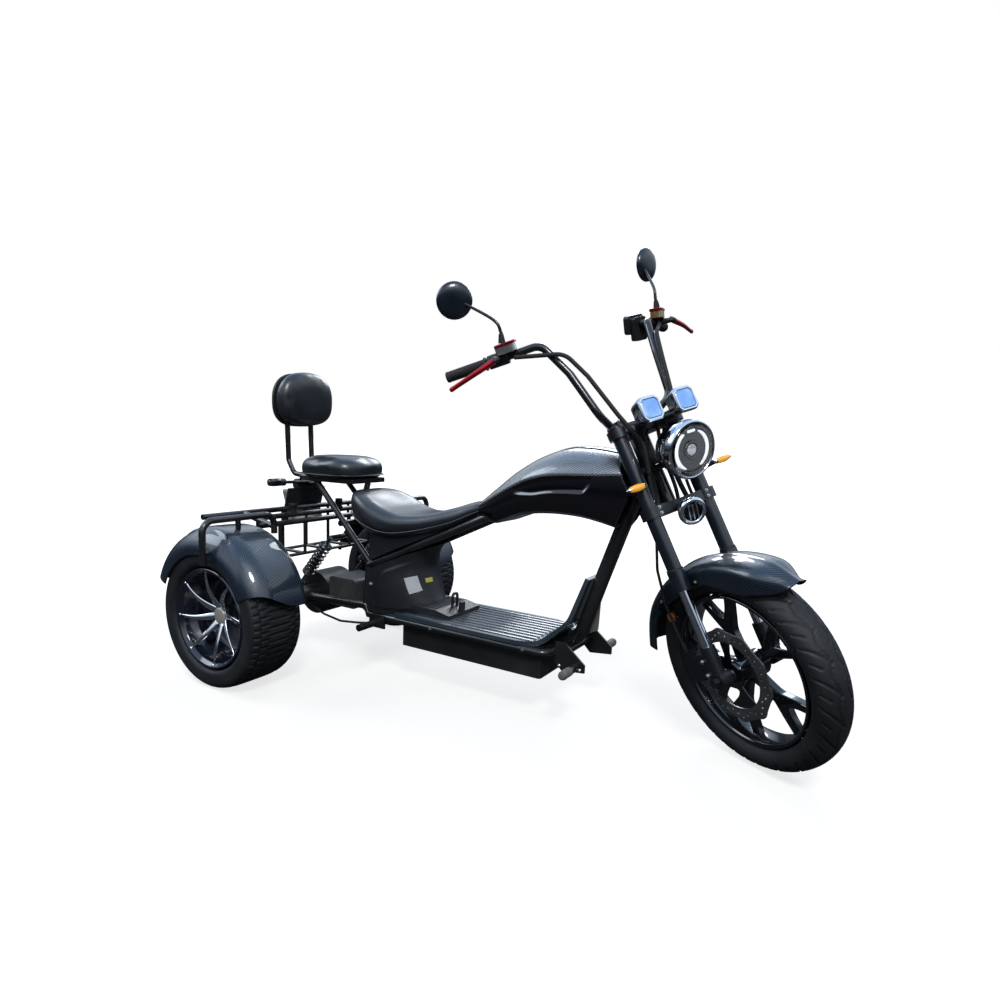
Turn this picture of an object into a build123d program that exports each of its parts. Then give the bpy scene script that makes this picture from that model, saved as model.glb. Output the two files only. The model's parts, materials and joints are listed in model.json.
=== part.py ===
from build123d import *
from math import atan2, cos, degrees, hypot, radians, sin, tan
import os

# Three-wheeled electric scooter, laid out in millimetres.
# X runs forward, Y to the rider's left, Z up, and Z = 0 is the ground.
# While it is laid out, X = 0 is the rear axle. The last lines move every piece
# so that X = 0 is midway between the foremost and the rearmost point.

# Driving sizes of the whole vehicle
WHEELBASE = 1579
RAKE = 27.4
FORK_OFFSET = 50
REST_STEER = -34.9
LEG_FORWARD = 45
LEG_Y = 95

FRONT_TYRE_R = 284
FRONT_TYRE_W = 106
FRONT_TYRE_H = 71
FRONT_RIM_R = FRONT_TYRE_R - FRONT_TYRE_H
REAR_TYRE_R = 238.5
REAR_TYRE_W = 205
REAR_TYRE_H = 71.5
REAR_RIM_R = REAR_TYRE_R - REAR_TYRE_H
HALF_TRACK = 453

# Clearances
SEAT_GAP = 0.3
BEARING_GAP = 0.05

# Steering geometry
RAKE_S = sin(radians(RAKE))
RAKE_C = cos(radians(RAKE))
AXIS_X = WHEELBASE - FORK_OFFSET * RAKE_C
AXIS_Z = FRONT_TYRE_R - FORK_OFFSET * RAKE_S


def on_fork(forward, y, along):
    """Point given ahead of the steering axis, across it, and up along it."""
    x = AXIS_X + forward * RAKE_C - along * RAKE_S
    z = AXIS_Z + forward * RAKE_S + along * RAKE_C
    return (x, y, z)


def nose(back, up):
    """Point (x, z) behind and above the place where the steering axis passes the front axle's height."""
    return (AXIS_X - back, AXIS_Z + up)


def station(share, up):
    """Point (x, z) at a share of the way from the rear axle to the steering axis."""
    return (share * AXIS_X, AXIS_Z + up)


def fork_plane(along, forward=0, y=0):
    """Sketch plane square to the steering axis, local X forward."""
    return Plane(origin=on_fork(forward, y, along), x_dir=(RAKE_C, 0, RAKE_S),
                 z_dir=(-RAKE_S, 0, RAKE_C))


def rod(points, radius, bends=None, mode=Mode.ADD):
    """Round bar along straight runs; bends gives one radius, or one for each corner."""
    with BuildLine() as path:
        if bends is None:
            Polyline(*points)
        else:
            FilletPolyline(*points, radius=bends)
    with BuildSketch(Plane(origin=path.line @ 0, z_dir=path.line % 0)) as section:
        Circle(radius)
    sweep(section.sketch, path=path.line, mode=mode)


def plate_xz(outline, y_from, y_to, mode=Mode.ADD):
    """Flat plate standing along X, from an outline of (x, z) points."""
    with BuildSketch(Plane(origin=(0, y_from, 0), x_dir=(1, 0, 0), z_dir=(0, 1, 0))) as face:
        Polygon(*[(x, -z) for x, z in outline], align=None)
    extrude(face.sketch, amount=y_to - y_from, mode=mode)


# Main frame: head tube, twin top rails, central down tube, floor rails
HEAD_FROM = 485.3
HEAD_TO = 689.7
HEAD_R = 27
STEM_R = 20
RAIL_R = 14
RAIL_REAR = (300, 98, 391)
RAIL_BEND = station(0.4855, 336)
# rails from the head back to the bend: point in side view, distance from the middle
RAIL_FRONT = [
    (nose(250, 467), 30),
    (station(0.769, 455), 50),
    (station(0.6777, 441), 56),
    (station(0.5865, 399), 56),
    (RAIL_BEND, 58),
]
RAIL_ROUTE = [(x, y, z) for (x, z), y in RAIL_FRONT] + [RAIL_REAR]
RAIL_BENDS = [60, 60, 60, 90]
DOWN_TUBE_R = 22
FLOOR_Z = 252
FLOOR_T = 14
FLOOR_RAIL_R = 12
FLOOR_RAIL_Y = 136
FLOOR_RAIL_Z = FLOOR_Z - FLOOR_T - FLOOR_RAIL_R - SEAT_GAP
FLOOR_FRONT = AXIS_X - 507
DOWN_TUBE = [(AXIS_X - 283, 0, AXIS_Z + 539), (AXIS_X - 396, 0, 455), (AXIS_X - 456, 0, 265),
             (FLOOR_FRONT, 0, FLOOR_RAIL_Z)]
DOWN_BENDS = [90, 60]
SUBFRAME_Y = 120
SUBFRAME_X = 330
SUBFRAME_R = 14
AXLE_Z = REAR_TYRE_R
HOUSING_R = 34
HOUSING_HALF = 320
UPRIGHT_R = 12



def on_rail(share, lift=0):
    """Point (x, z) over the straight rear run of the top rails, from its rear end to the bend."""
    x = RAIL_REAR[0] + share * (RAIL_BEND[0] - RAIL_REAR[0])
    z = RAIL_REAR[2] + share * (RAIL_BEND[1] - RAIL_REAR[2])
    return (x, z + lift)


def over_rail(x, lift=0):
    """Point (x, z) at a given x over the line of that run."""
    return on_rail((x - RAIL_REAR[0]) / (RAIL_BEND[0] - RAIL_REAR[0]), lift)


with BuildPart() as main_frame:
    with BuildSketch(fork_plane(HEAD_FROM)):
        Circle(HEAD_R)
    extrude(amount=HEAD_TO - HEAD_FROM)
    rod(DOWN_TUBE, DOWN_TUBE_R, DOWN_BENDS)
    for side in (1, -1):
        rail = [(x, side * y, z) for x, y, z in RAIL_ROUTE]
        rod(rail, RAIL_R, RAIL_BENDS)
        rod([(FLOOR_FRONT, 0, FLOOR_RAIL_Z), (FLOOR_FRONT, side * FLOOR_RAIL_Y, FLOOR_RAIL_Z),
             (SUBFRAME_X, side * FLOOR_RAIL_Y, FLOOR_RAIL_Z)], FLOOR_RAIL_R, 30)
        rod([(SUBFRAME_X + 8, side * FLOOR_RAIL_Y, FLOOR_RAIL_Z), (SUBFRAME_X - 18, side * SUBFRAME_Y, 250),
             (HOUSING_R, side * SUBFRAME_Y, AXLE_Z)], SUBFRAME_R, 30)
        rod([(RAIL_REAR[0], side * RAIL_REAR[1], RAIL_REAR[2]), (SUBFRAME_X - 25, side * SUBFRAME_Y, 250)],
            UPRIGHT_R)
    rod([(RAIL_REAR[0], -RAIL_REAR[1], RAIL_REAR[2]), RAIL_REAR], UPRIGHT_R)
    rod([(SUBFRAME_X - 20, -SUBFRAME_Y, 252), (SUBFRAME_X - 20, SUBFRAME_Y, 252)], UPRIGHT_R)
    with BuildSketch(fork_plane(HEAD_FROM)):
        Circle(STEM_R)
    extrude(amount=HEAD_TO - HEAD_FROM, mode=Mode.SUBTRACT)
    with BuildSketch(Plane(origin=(0, -HOUSING_HALF, AXLE_Z), z_dir=(0, 1, 0))):
        Circle(HOUSING_R)
    extrude(amount=2 * HOUSING_HALF, mode=Mode.SUBTRACT)

# Front foot pegs on their side plates
PEG_PLATE_Y = 104
PEG_PLATE = 6
PEG_BAR_X = AXIS_X - 473
PEG_X = PEG_BAR_X + 50
PEG_Z = 196
PEG_R = 12
PEG_LENGTH = 95
PEG_PLATE_SHAPE = [(-16, 262), (16, 262), (80, 208), (80, 184), (8, 176), (-16, 200)]
with BuildPart() as front_pegs:
    rod([(PEG_BAR_X, -PEG_PLATE_Y, 224), (PEG_BAR_X, PEG_PLATE_Y, 224)], 13)
    for side in (1, -1):
        inner, outer = sorted((side * PEG_PLATE_Y, side * (PEG_PLATE_Y + PEG_PLATE)))
        plate_xz([(PEG_BAR_X + x, z) for x, z in PEG_PLATE_SHAPE], inner, outer)
        rod([(PEG_X, side * (PEG_PLATE_Y + 1), PEG_Z),
             (PEG_X, side * (PEG_PLATE_Y + PEG_LENGTH), PEG_Z)], PEG_R)
    # seat for the down tube
    rod(DOWN_TUBE, DOWN_TUBE_R, DOWN_BENDS, mode=Mode.SUBTRACT)

# Battery box under the floor
BOX_X0 = 472
BOX_X1 = AXIS_X - 529
BOX_HALF_Y = 122
BOX_Z0 = 138
with BuildPart() as battery_box:
    with BuildSketch(Plane.XY.offset(BOX_Z0)):
        with Locations(((BOX_X0 + BOX_X1) / 2, 0)):
            RectangleRounded(BOX_X1 - BOX_X0, 2 * BOX_HALF_Y, 10)
    extrude(amount=FLOOR_Z - FLOOR_T - BOX_Z0)

# Floorboard: flat, then swept up behind the down tube and narrowing, open at the back for the hatch
FLOOR_X0 = 455
FLOOR_HALF_Y = 147
HATCH_X1 = 648
HATCH_HALF_Y = 96
SWEEP_TOP = 450
with BuildPart() as floorboard:
    with BuildSketch(Plane(origin=(0, -FLOOR_HALF_Y, 0), x_dir=(1, 0, 0), z_dir=(0, -1, 0))):
        with BuildLine():
            FilletPolyline((FLOOR_X0, FLOOR_Z), (AXIS_X - 545, FLOOR_Z), (AXIS_X - 483, 310),
                           (AXIS_X - 437, SWEEP_TOP), radius=[60, 60])
            Line((AXIS_X - 437, SWEEP_TOP), (AXIS_X - 426, SWEEP_TOP - 4))
            FilletPolyline((AXIS_X - 426, SWEEP_TOP - 4), (AXIS_X - 471, 306),
                           (AXIS_X - 535, FLOOR_Z - FLOOR_T), (FLOOR_X0, FLOOR_Z - FLOOR_T), radius=[60, 60])
            Line((FLOOR_X0, FLOOR_Z - FLOOR_T), (FLOOR_X0, FLOOR_Z))
        make_face()
    extrude(amount=-2 * FLOOR_HALF_Y)
    with BuildSketch(Plane.XY.offset(BOX_Z0)):
        Polygon((FLOOR_X0, -FLOOR_HALF_Y), (AXIS_X - 605, -FLOOR_HALF_Y), (AXIS_X - 535, -118),
                (AXIS_X - 475, -52), (AXIS_X - 415, -30), (AXIS_X - 415, 30), (AXIS_X - 475, 52),
                (AXIS_X - 535, 118), (AXIS_X - 605, FLOOR_HALF_Y), (FLOOR_X0, FLOOR_HALF_Y), align=None)
    extrude(amount=400, mode=Mode.INTERSECT)
    with BuildSketch(Plane.XY.offset(BOX_Z0)):
        Polygon((FLOOR_X0 - 1, -133), (530, -HATCH_HALF_Y - 1), (HATCH_X1 + 1, -HATCH_HALF_Y - 1),
                (HATCH_X1 + 1, HATCH_HALF_Y + 1), (530, HATCH_HALF_Y + 1), (FLOOR_X0 - 1, 133), align=None)
    extrude(amount=400, mode=Mode.SUBTRACT)

# Raised hatch at the back of the floor with its lock and pull
HATCH_X0 = 473
HATCH_Z = 276
HATCH_LOW = FLOOR_Z - FLOOR_T + SEAT_GAP
with BuildPart() as battery_hatch:
    plate_xz([(HATCH_X0, HATCH_LOW), (HATCH_X1, HATCH_LOW), (HATCH_X1, HATCH_Z - 12), (592, HATCH_Z),
              (HATCH_X0, HATCH_Z)], -HATCH_HALF_Y, HATCH_HALF_Y)
    rod([(606, -14, 268), (606, -14, 318), (606, 14, 318), (606, 14, 268)], 5, 10)
    with BuildSketch(Plane.XY.offset(262)):
        with Locations((636, 0)):
            Circle(11)
    extrude(amount=32)

# Body cover between floor and top rails
COVER_HALF_Y = 148
with BuildPart() as body_cover:
    plate_xz([(325, 236), (452, 236), (452, FLOOR_Z + SEAT_GAP), (472, FLOOR_Z + SEAT_GAP),
              (472, HATCH_Z + SEAT_GAP), (548, HATCH_Z + SEAT_GAP), (520, 330), (498, 405), (514, 450),
              over_rail(612, -35), over_rail(612, -18), over_rail(500, -18), over_rail(325, -18)],
             -COVER_HALF_Y, COVER_HALF_Y)
    with BuildSketch(Plane.XY.offset(200)):
        Polygon((325, -140), (345, -COVER_HALF_Y), (400, -COVER_HALF_Y), (505, -84), (560, -50),
                (620, -40), (620, 40), (560, 50), (505, 84), (400, COVER_HALF_Y), (345, COVER_HALF_Y),
                (325, 140), align=None)
    extrude(amount=400, mode=Mode.INTERSECT)
    # room for the frame's tubes
    for side in (1, -1):
        rail = [(x, side * y, z) for x, y, z in RAIL_ROUTE[3:]]
        rod(rail, RAIL_R + 1, [90], mode=Mode.SUBTRACT)
        rod([(FLOOR_FRONT, side * FLOOR_RAIL_Y, FLOOR_RAIL_Z),
             (SUBFRAME_X - 30, side * FLOOR_RAIL_Y, FLOOR_RAIL_Z)], FLOOR_RAIL_R + SEAT_GAP, mode=Mode.SUBTRACT)
        rod([(SUBFRAME_X + 8, side * FLOOR_RAIL_Y, FLOOR_RAIL_Z), (SUBFRAME_X - 18, side * SUBFRAME_Y, 250),
             (HOUSING_R, side * SUBFRAME_Y, AXLE_Z)], SUBFRAME_R + 1, 30, mode=Mode.SUBTRACT)

# Saddle: sections from the back edge to the nose
# columns: share of the rails' rear run, half width, bottom and top above the rails
SADDLE = [
    (-0.171, 96, 200, 304),
    (-0.022, 146, 140, 264),
    (0.135, 152, 98, 193),
    (0.315, 146, 61, 136),
    (0.539, 124, 32, 102),
    (0.764, 92, 18, 79),
    (0.973, 62, 22, 64),
]
with BuildPart() as saddle:
    for share, half, low, high in SADDLE:
        x, z = on_rail(share, (low + high) / 2)
        with BuildSketch(Plane.YZ.offset(x)):
            with Locations((0, z)):
                RectangleRounded(2 * half, high - low, 0.42 * (high - low))
    loft(ruled=True)

# Seat pan: panel between the saddle and the top rails
# columns: share of the rails' rear run, top above the rails
PAN = [(0.027, 123), (0.135, 98), (0.315, 61), (0.539, 32), (0.764, 18), (0.899, 20)]
PAN_SIT = 15
PAN_Y = 112
with BuildPart() as seat_pan:
    plate_xz([on_rail(share, top - SEAT_GAP) for share, top in PAN]
             + [on_rail(PAN[-1][0], PAN_SIT), on_rail(PAN[0][0], PAN_SIT)], -PAN_Y, PAN_Y)
    with BuildSketch(Plane.XY.offset(RAIL_REAR[2] - 90)):
        Polygon((on_rail(0.027)[0], -PAN_Y), (on_rail(0.315)[0], -PAN_Y), (on_rail(0.9)[0], -56),
                (on_rail(0.9)[0], 56), (on_rail(0.315)[0], PAN_Y), (on_rail(0.027)[0], PAN_Y), align=None)
    extrude(amount=600, mode=Mode.INTERSECT)
    for side in (1, -1):
        rail = [(x, side * y, z) for x, y, z in RAIL_ROUTE[3:]]
        rod(rail, RAIL_R + 1, [90], mode=Mode.SUBTRACT)

# Tank sections from back to front
# columns: point in side view at the seam, half width, bottom below the seam, crest above the seam
TANK = [
    (station(0.4802, 382), 76, 55, 19),
    (station(0.5408, 436), 90, 91, 43),
    (station(0.606, 480), 112, 107, 62),
    (station(0.6777, 499), 122, 116, 78),
    (station(0.7363, 504), 119, 129, 72),
    (nose(295, 511), 96, 166, 40),
]
TANK_CLEAR = 66
TANK_TOE_X, TANK_TOE_Z = nose(336, 350)
TANK_TOE_LEAN = (0.909, 0, -0.417)
with BuildPart() as tank_shell:
    for (x, seam), half, below, above in TANK:
        with BuildSketch(Plane.YZ.offset(x)):
            with BuildLine():
                Line((-half, seam), (half, seam))
                Line((half, seam), (half, seam + 4))
                ThreePointArc((half, seam + 4), (0, seam + above), (-half, seam + 4))
                Line((-half, seam + 4), (-half, seam))
            make_face()
    loft(ruled=True)
    split(bisect_by=Plane(origin=on_fork(-TANK_CLEAR, 0, 0), z_dir=(RAKE_C, 0, RAKE_S)), keep=Keep.BOTTOM)

with BuildPart() as tank_lower:
    for (x, seam), half, below, above in TANK:
        with BuildSketch(Plane.YZ.offset(x)):
            Polygon((-half, seam), (half, seam), (half, seam - 20), (half - 14, seam - below),
                    (-half + 14, seam - below), (-half, seam - 20), align=None)
    loft(ruled=True)
    split(bisect_by=Plane(origin=on_fork(-TANK_CLEAR, 0, 0), z_dir=(RAKE_C, 0, RAKE_S)), keep=Keep.BOTTOM)
    split(bisect_by=Plane(origin=(TANK_TOE_X, 0, TANK_TOE_Z), z_dir=TANK_TOE_LEAN), keep=Keep.BOTTOM)
    for side in (1, -1):
        rail = [(x, side * y, z) for x, y, z in RAIL_ROUTE]
        rod(rail, RAIL_R + 1, RAIL_BENDS, mode=Mode.SUBTRACT)
    rod(DOWN_TUBE, DOWN_TUBE_R + 1, DOWN_BENDS, mode=Mode.SUBTRACT)

# Pillion frame: diagonal struts, short prop, seat plate and backrest posts
STRUT_R = 11
POST_R = 10
POST_Y = 60
PLATE_Z = 672


def strut_routes(radius, mode=Mode.ADD):
    """The pair of diagonal struts that carry the pillion seat."""
    for side in (1, -1):
        rod([(20, side * 78, PLATE_Z), (297, side * 86, 395)], radius, mode=mode)


def post_routes(radius, mode=Mode.ADD):
    """The pair of backrest posts, from under the pad up into the back shell."""
    for side in (1, -1):
        rod([(-20, side * POST_Y, 682), (-118, side * POST_Y, 690), (-150, side * POST_Y, 740),
             (-158, side * POST_Y, 960)], radius, [28, 28], mode=mode)


with BuildPart() as pillion_frame:
    strut_routes(STRUT_R)
    post_routes(POST_R)
    rod([(205, 0, PLATE_Z), (150, 0, 520)], STRUT_R)
    rod([(143, -82, 523), (143, 82, 523)], STRUT_R)
    with BuildSketch(Plane.XY.offset(PLATE_Z)):
        with Locations((75, 0)):
            RectangleRounded(270, 200, 20)
    extrude(amount=16)
    for side in (1, -1):
        rail = [(x, side * y, z) for x, y, z in RAIL_ROUTE[3:]]
        rod(rail, RAIL_R, [90], mode=Mode.SUBTRACT)
        rod([(RAIL_REAR[0], side * RAIL_REAR[1], RAIL_REAR[2]), (SUBFRAME_X - 25, side * SUBFRAME_Y, 250)],
            UPRIGHT_R, mode=Mode.SUBTRACT)
    rod([(RAIL_REAR[0], -RAIL_REAR[1], RAIL_REAR[2]), RAIL_REAR], UPRIGHT_R, mode=Mode.SUBTRACT)

# Cushions
PAD_X0, PAD_X1 = -52, 205
PAD_HALF_Y = 122
PAD_Z1 = 757
with BuildPart() as pillion_pad:
    with BuildSketch(Plane.XY.offset(PLATE_Z + 16 + SEAT_GAP)):
        with Locations(((PAD_X0 + PAD_X1) / 2, 0)):
            RectangleRounded(PAD_X1 - PAD_X0, 2 * PAD_HALF_Y, 60)
    extrude(amount=PAD_Z1 - PLATE_Z - 16 - SEAT_GAP)
    fillet(pillion_pad.faces().sort_by(Axis.Z)[-1].edges(), 24)
    post_routes(POST_R + SEAT_GAP, Mode.SUBTRACT)

BACK_X = -174
BACK_Z = 970
BACK_W = 264
BACK_H = 204
BACK_SHELL_T = 24
BACK_PAD_T = 58
with BuildPart() as backrest_shell:
    with BuildSketch(Plane(origin=(BACK_X, 0, BACK_Z), x_dir=(0, 1, 0), z_dir=(1, 0, 0))):
        RectangleRounded(BACK_W - 10, BACK_H - 8, 84)
    extrude(amount=BACK_SHELL_T)
    fillet(backrest_shell.faces().sort_by(Axis.X)[0].edges(), 10)
    post_routes(POST_R, Mode.SUBTRACT)
with BuildPart() as backrest_pad:
    with BuildSketch(Plane(origin=(BACK_X + BACK_SHELL_T + SEAT_GAP, 0, BACK_Z), x_dir=(0, 1, 0),
                           z_dir=(1, 0, 0))):
        RectangleRounded(BACK_W, BACK_H, 88)
    extrude(amount=BACK_PAD_T)
    fillet(backrest_pad.faces().sort_by(Axis.X)[-1].edges(), 28)
    post_routes(POST_R + SEAT_GAP, Mode.SUBTRACT)

# Rear axle: housing with differential and hub stubs
DIFF_R = 82
STUB_R = 17.5
DRUM_R = 72
with BuildPart() as rear_axle:
    with BuildSketch(Plane(origin=(0, -HOUSING_HALF, AXLE_Z), z_dir=(0, 1, 0))):
        Circle(HOUSING_R)
    extrude(amount=2 * HOUSING_HALF)
    with BuildSketch(Plane(origin=(0, -70, AXLE_Z), z_dir=(0, 1, 0))):
        Circle(DIFF_R)
    extrude(amount=140)
    with BuildSketch(Plane(origin=(0, -HALF_TRACK - 20, AXLE_Z), z_dir=(0, 1, 0))):
        Circle(STUB_R)
    extrude(amount=2 * HALF_TRACK + 40)
    for side in (1, -1):
        drum_in, drum_out = sorted((side * (HALF_TRACK - 108), side * (HALF_TRACK - 36)))
        with BuildSketch(Plane(origin=(0, drum_in, AXLE_Z), z_dir=(0, 1, 0))):
            Circle(DRUM_R)
        extrude(amount=drum_out - drum_in)

# Drive motor, one plain block bolted to the differential
MOTOR_X = 132
MOTOR_Y = 150
MOTOR_Z = 110
MOTOR_CZ = 262
with BuildPart() as drive_motor:
    with BuildSketch(Plane(origin=(DIFF_R + SEAT_GAP + MOTOR_X / 2, -MOTOR_Y / 2, MOTOR_CZ), x_dir=(1, 0, 0),
                           z_dir=(0, 1, 0))):
        RectangleRounded(MOTOR_X, MOTOR_Z, 12)
    extrude(amount=MOTOR_Y)

# Rear shocks: from the axle housing up to the pillion struts
SHOCK_Y = 150
with BuildPart() as rear_shocks:
    for side in (1, -1):
        rod([(18, side * SHOCK_Y, 300), (165, side * SHOCK_Y, 480)], 8)
        rod([(50, side * SHOCK_Y, 339), (140, side * SHOCK_Y, 450)], 24)
        rod([(165, side * SHOCK_Y, 480), (165, side * 84, 480)], 9)
        rod([(18, side * SHOCK_Y, 302), (0, side * SHOCK_Y, AXLE_Z + HOUSING_R - 2)], 9)
    with BuildSketch(Plane(origin=(0, -HOUSING_HALF, AXLE_Z), z_dir=(0, 1, 0))):
        Circle(HOUSING_R)
    extrude(amount=2 * HOUSING_HALF, mode=Mode.SUBTRACT)
    strut_routes(STRUT_R, Mode.SUBTRACT)

# Rear fenders, round over each wheel
FENDER_R = 285
FENDER_CX = -20
FENDER_CZ = 250
FENDER_FROM = 10
FENDER_TO = 166
FENDER_Y0 = 354
FENDER_Y1 = 566
FENDER_T = 4
FENDER_IN = 20
FENDER_OUT = 78
FENDER_LIP_Z = 284
FENDER_RISE = 62


def fender_profile(side):
    """Thin arched profile in a plane whose local X is Y and whose local Y is the radius."""
    with BuildSketch(Plane(origin=(FENDER_CX, 0, FENDER_CZ), x_dir=(0, 1, 0), z_dir=(1, 0, 0))) as face:
        for shrink, mode in ((0, Mode.ADD), (FENDER_T, Mode.SUBTRACT)):
            inner = side * (FENDER_Y0 + shrink)
            outer = side * (FENDER_Y1 - shrink)
            top = FENDER_R - shrink
            with BuildLine():
                FilletPolyline((inner, FENDER_R - FENDER_IN - 2 * shrink), (inner, top), (outer, top),
                               (outer, FENDER_R - FENDER_OUT - 2 * shrink), radius=[14 - shrink, 74 - shrink])
                Line((outer, FENDER_R - FENDER_OUT - 2 * shrink), (inner, FENDER_R - FENDER_IN - 2 * shrink))
            make_face(mode=mode)
    return face.sketch


with BuildPart() as rear_fenders:
    for side in (1, -1):
        profile = fender_profile(side)
        spin = Axis((FENDER_CX, 0, FENDER_CZ), (0, 1, 0))
        start = profile.rotate(spin, 90 - FENDER_TO)
        revolve(start, axis=spin, revolution_arc=FENDER_TO - FENDER_FROM)
        # the front edge rises towards the outside
        with BuildSketch(Plane(origin=(FENDER_CX + 100, 0, 0), x_dir=(0, 1, 0), z_dir=(1, 0, 0))):
            Polygon((side * (FENDER_Y0 - 10), FENDER_LIP_Z - 3),
                    (side * (FENDER_Y1 + 10), FENDER_LIP_Z + FENDER_RISE),
                    (side * (FENDER_Y1 + 10), AXLE_Z), (side * (FENDER_Y0 - 10), AXLE_Z), align=None)
        extrude(amount=FENDER_R, mode=Mode.SUBTRACT)

# Rack between the rear wheels and the guard hoop over each fender
RACK_R = 10
HOOP_R = 11
HOOP_X = 40
HOOP_Y = 586
HOOP_Z = 568
HOOP_POST_R = 9
RACK_Z = 541
POST_X = -60
RACK_POST_Y = 122
RACK_POST_R = 13
RACK_POST_TOP = 585
with BuildPart() as rear_rack:
    rod([(-120, -470, 556), (-120, 470, 556)], RACK_R)
    rod([(0, -330, 524), (0, 330, 524)], RACK_R)
    for side in (1, -1):
        rod([(HOOP_X, side * HOOP_Y, 430), (HOOP_X, side * HOOP_Y, HOOP_Z), (HOOP_X, side * 300, HOOP_Z),
             (HOOP_X, side * 300, 500)], HOOP_R, 40)
        rod([(-126, side * 300, 556), (46, side * 300, 522)], RACK_R)
        crown_z = FENDER_CZ + (FENDER_R ** 2 - (HOOP_X - HOOP_POST_R - FENDER_CX) ** 2) ** 0.5
        rod([(HOOP_X, side * 450, HOOP_Z - 2), (HOOP_X, side * 450, crown_z + SEAT_GAP)], HOOP_POST_R)
        for y in (0, 120, 240):
            if y or side > 0:
                rod([(0, side * y, 524), (0, side * y, 400)], 6)
                rod([(-120, side * y, 556), (-120, side * y, 400)], 6)
                rod([(0, side * y, 400), (-120, side * y, 400)], 6)
        post_y = side * RACK_POST_Y
        rod([(POST_X, post_y, RACK_Z), (POST_X, post_y, RACK_Z + 12)], RACK_POST_R + 3)
        rod([(POST_X, post_y, RACK_Z + 12), (POST_X, post_y, RACK_POST_TOP)], RACK_POST_R)
        rod([(0, side * 240, 402), (0, side * 240, AXLE_Z + HOUSING_R + SEAT_GAP)], 8)
        rod([(HOOP_X, side * HOOP_Y, 466), (HOOP_X, side * (FENDER_Y1 + SEAT_GAP), 466)], 7)
    rod([(0, -240, 400), (0, 240, 400)], 6)
    rod([(-120, -240, 400), (-120, 240, 400)], 6)
    rod([(POST_X, -300, RACK_Z), (POST_X, 300, RACK_Z)], RACK_R)

# Tail lamp, rear signals and the blank plate on their bracket
with BuildPart() as tail_lamps:
    with BuildSketch(Plane(origin=(-108, 0, 648), x_dir=(0, 1, 0), z_dir=(-1, 0, 0))):
        RectangleRounded(110, 40, 15)
    extrude(amount=26)
    rod([(-118, 0, 648), (-66, 0, 652), (-50, 0, PLATE_Z - 8)], 8, 20)
    rod([(-50, 0, PLATE_Z - 16), (-50, 0, PLATE_Z)], 9)
    for side in (1, -1):
        rod([(-104, 0, 655), (-104, side * 130, 660)], 6)
        rod([(-104, side * 125, 660), (-104, side * 195, 662)], 14)
    plate_xz([(-118, 634), (-112, 634), (-152, 500), (-158, 500)], -95, 95)

# Rear pegs and parking lever on the right
with BuildPart() as rear_pegs:
    for side in (1, -1):
        plate_in = side * (FLOOR_RAIL_Y + FLOOR_RAIL_R + SEAT_GAP)
        plate_xz([(352, 235), (420, 235), (420, 190), (352, 190)], *sorted((plate_in, side * 155)))
        rod([(375, side * 150, 205), (375, side * 235, 205)], 12)

# Brake cable from the axle to the floor rail
with BuildPart() as brake_cable:
    rod([(10, -100, 196), (90, -110, 176), (190, -128, 172), (290, -145, 188), (351.7, -152, 200)],
        4, [60, 60, 60])

# Fork clamps on the steering stem
CLAMP_LOW = 455
CLAMP_T = 30
CLAMP_TOP = 690
CLAMP_TOP_T = 25
CLAMP_FRONT = 32
LEG_R = 20
with BuildPart() as fork_clamps:
    for along, thick in ((CLAMP_LOW, CLAMP_T), (CLAMP_TOP, CLAMP_TOP_T)):
        with BuildSketch(fork_plane(along)):
            with Locations((LEG_FORWARD, LEG_Y), (LEG_FORWARD, -LEG_Y)):
                Circle(LEG_R + 9)
            Circle(32)
            Polygon((-20, -30), (LEG_FORWARD - 18, -LEG_Y - 15), (LEG_FORWARD + 22, -LEG_Y + 15),
                    (CLAMP_FRONT, 0), (LEG_FORWARD + 22, LEG_Y - 15), (LEG_FORWARD - 18, LEG_Y + 15),
                    (-20, 30), align=None)
            with Locations((LEG_FORWARD, LEG_Y), (LEG_FORWARD, -LEG_Y)):
                Circle(LEG_R, mode=Mode.SUBTRACT)
        extrude(amount=thick)
    with BuildSketch(fork_plane(CLAMP_LOW)):
        Circle(STEM_R - BEARING_GAP)
    extrude(amount=CLAMP_TOP + CLAMP_TOP_T - CLAMP_LOW)
    # handlebar risers
    for side in (1, -1):
        with BuildSketch(fork_plane(CLAMP_TOP + CLAMP_TOP_T - 1, -9.5, side * 42)):
            RectangleRounded(36, 26, 4)
        extrude(amount=34)

# Handlebar
BAR_R = 11
# columns: behind and above the steering foot, distance from the middle
BAR_TABLE = [(345, 644, 62), (317, 701, 125), (395, 821, 153), (465, 905, 188), (640, 857, 404)]
BAR_SIDE = [(AXIS_X - back, y, AXIS_Z + up) for back, up, y in BAR_TABLE]
BAR_ROUTE = [(x, -y, z) for x, y, z in reversed(BAR_SIDE)] + BAR_SIDE
BAR_BENDS = [40, 80, 40, 30, 30, 40, 80, 40]
with BuildPart() as handlebar:
    rod(BAR_ROUTE, BAR_R, BAR_BENDS)

with BuildPart() as clamp_cut:
    add(fork_clamps.part)
    rod(BAR_ROUTE, BAR_R, BAR_BENDS, mode=Mode.SUBTRACT)

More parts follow.
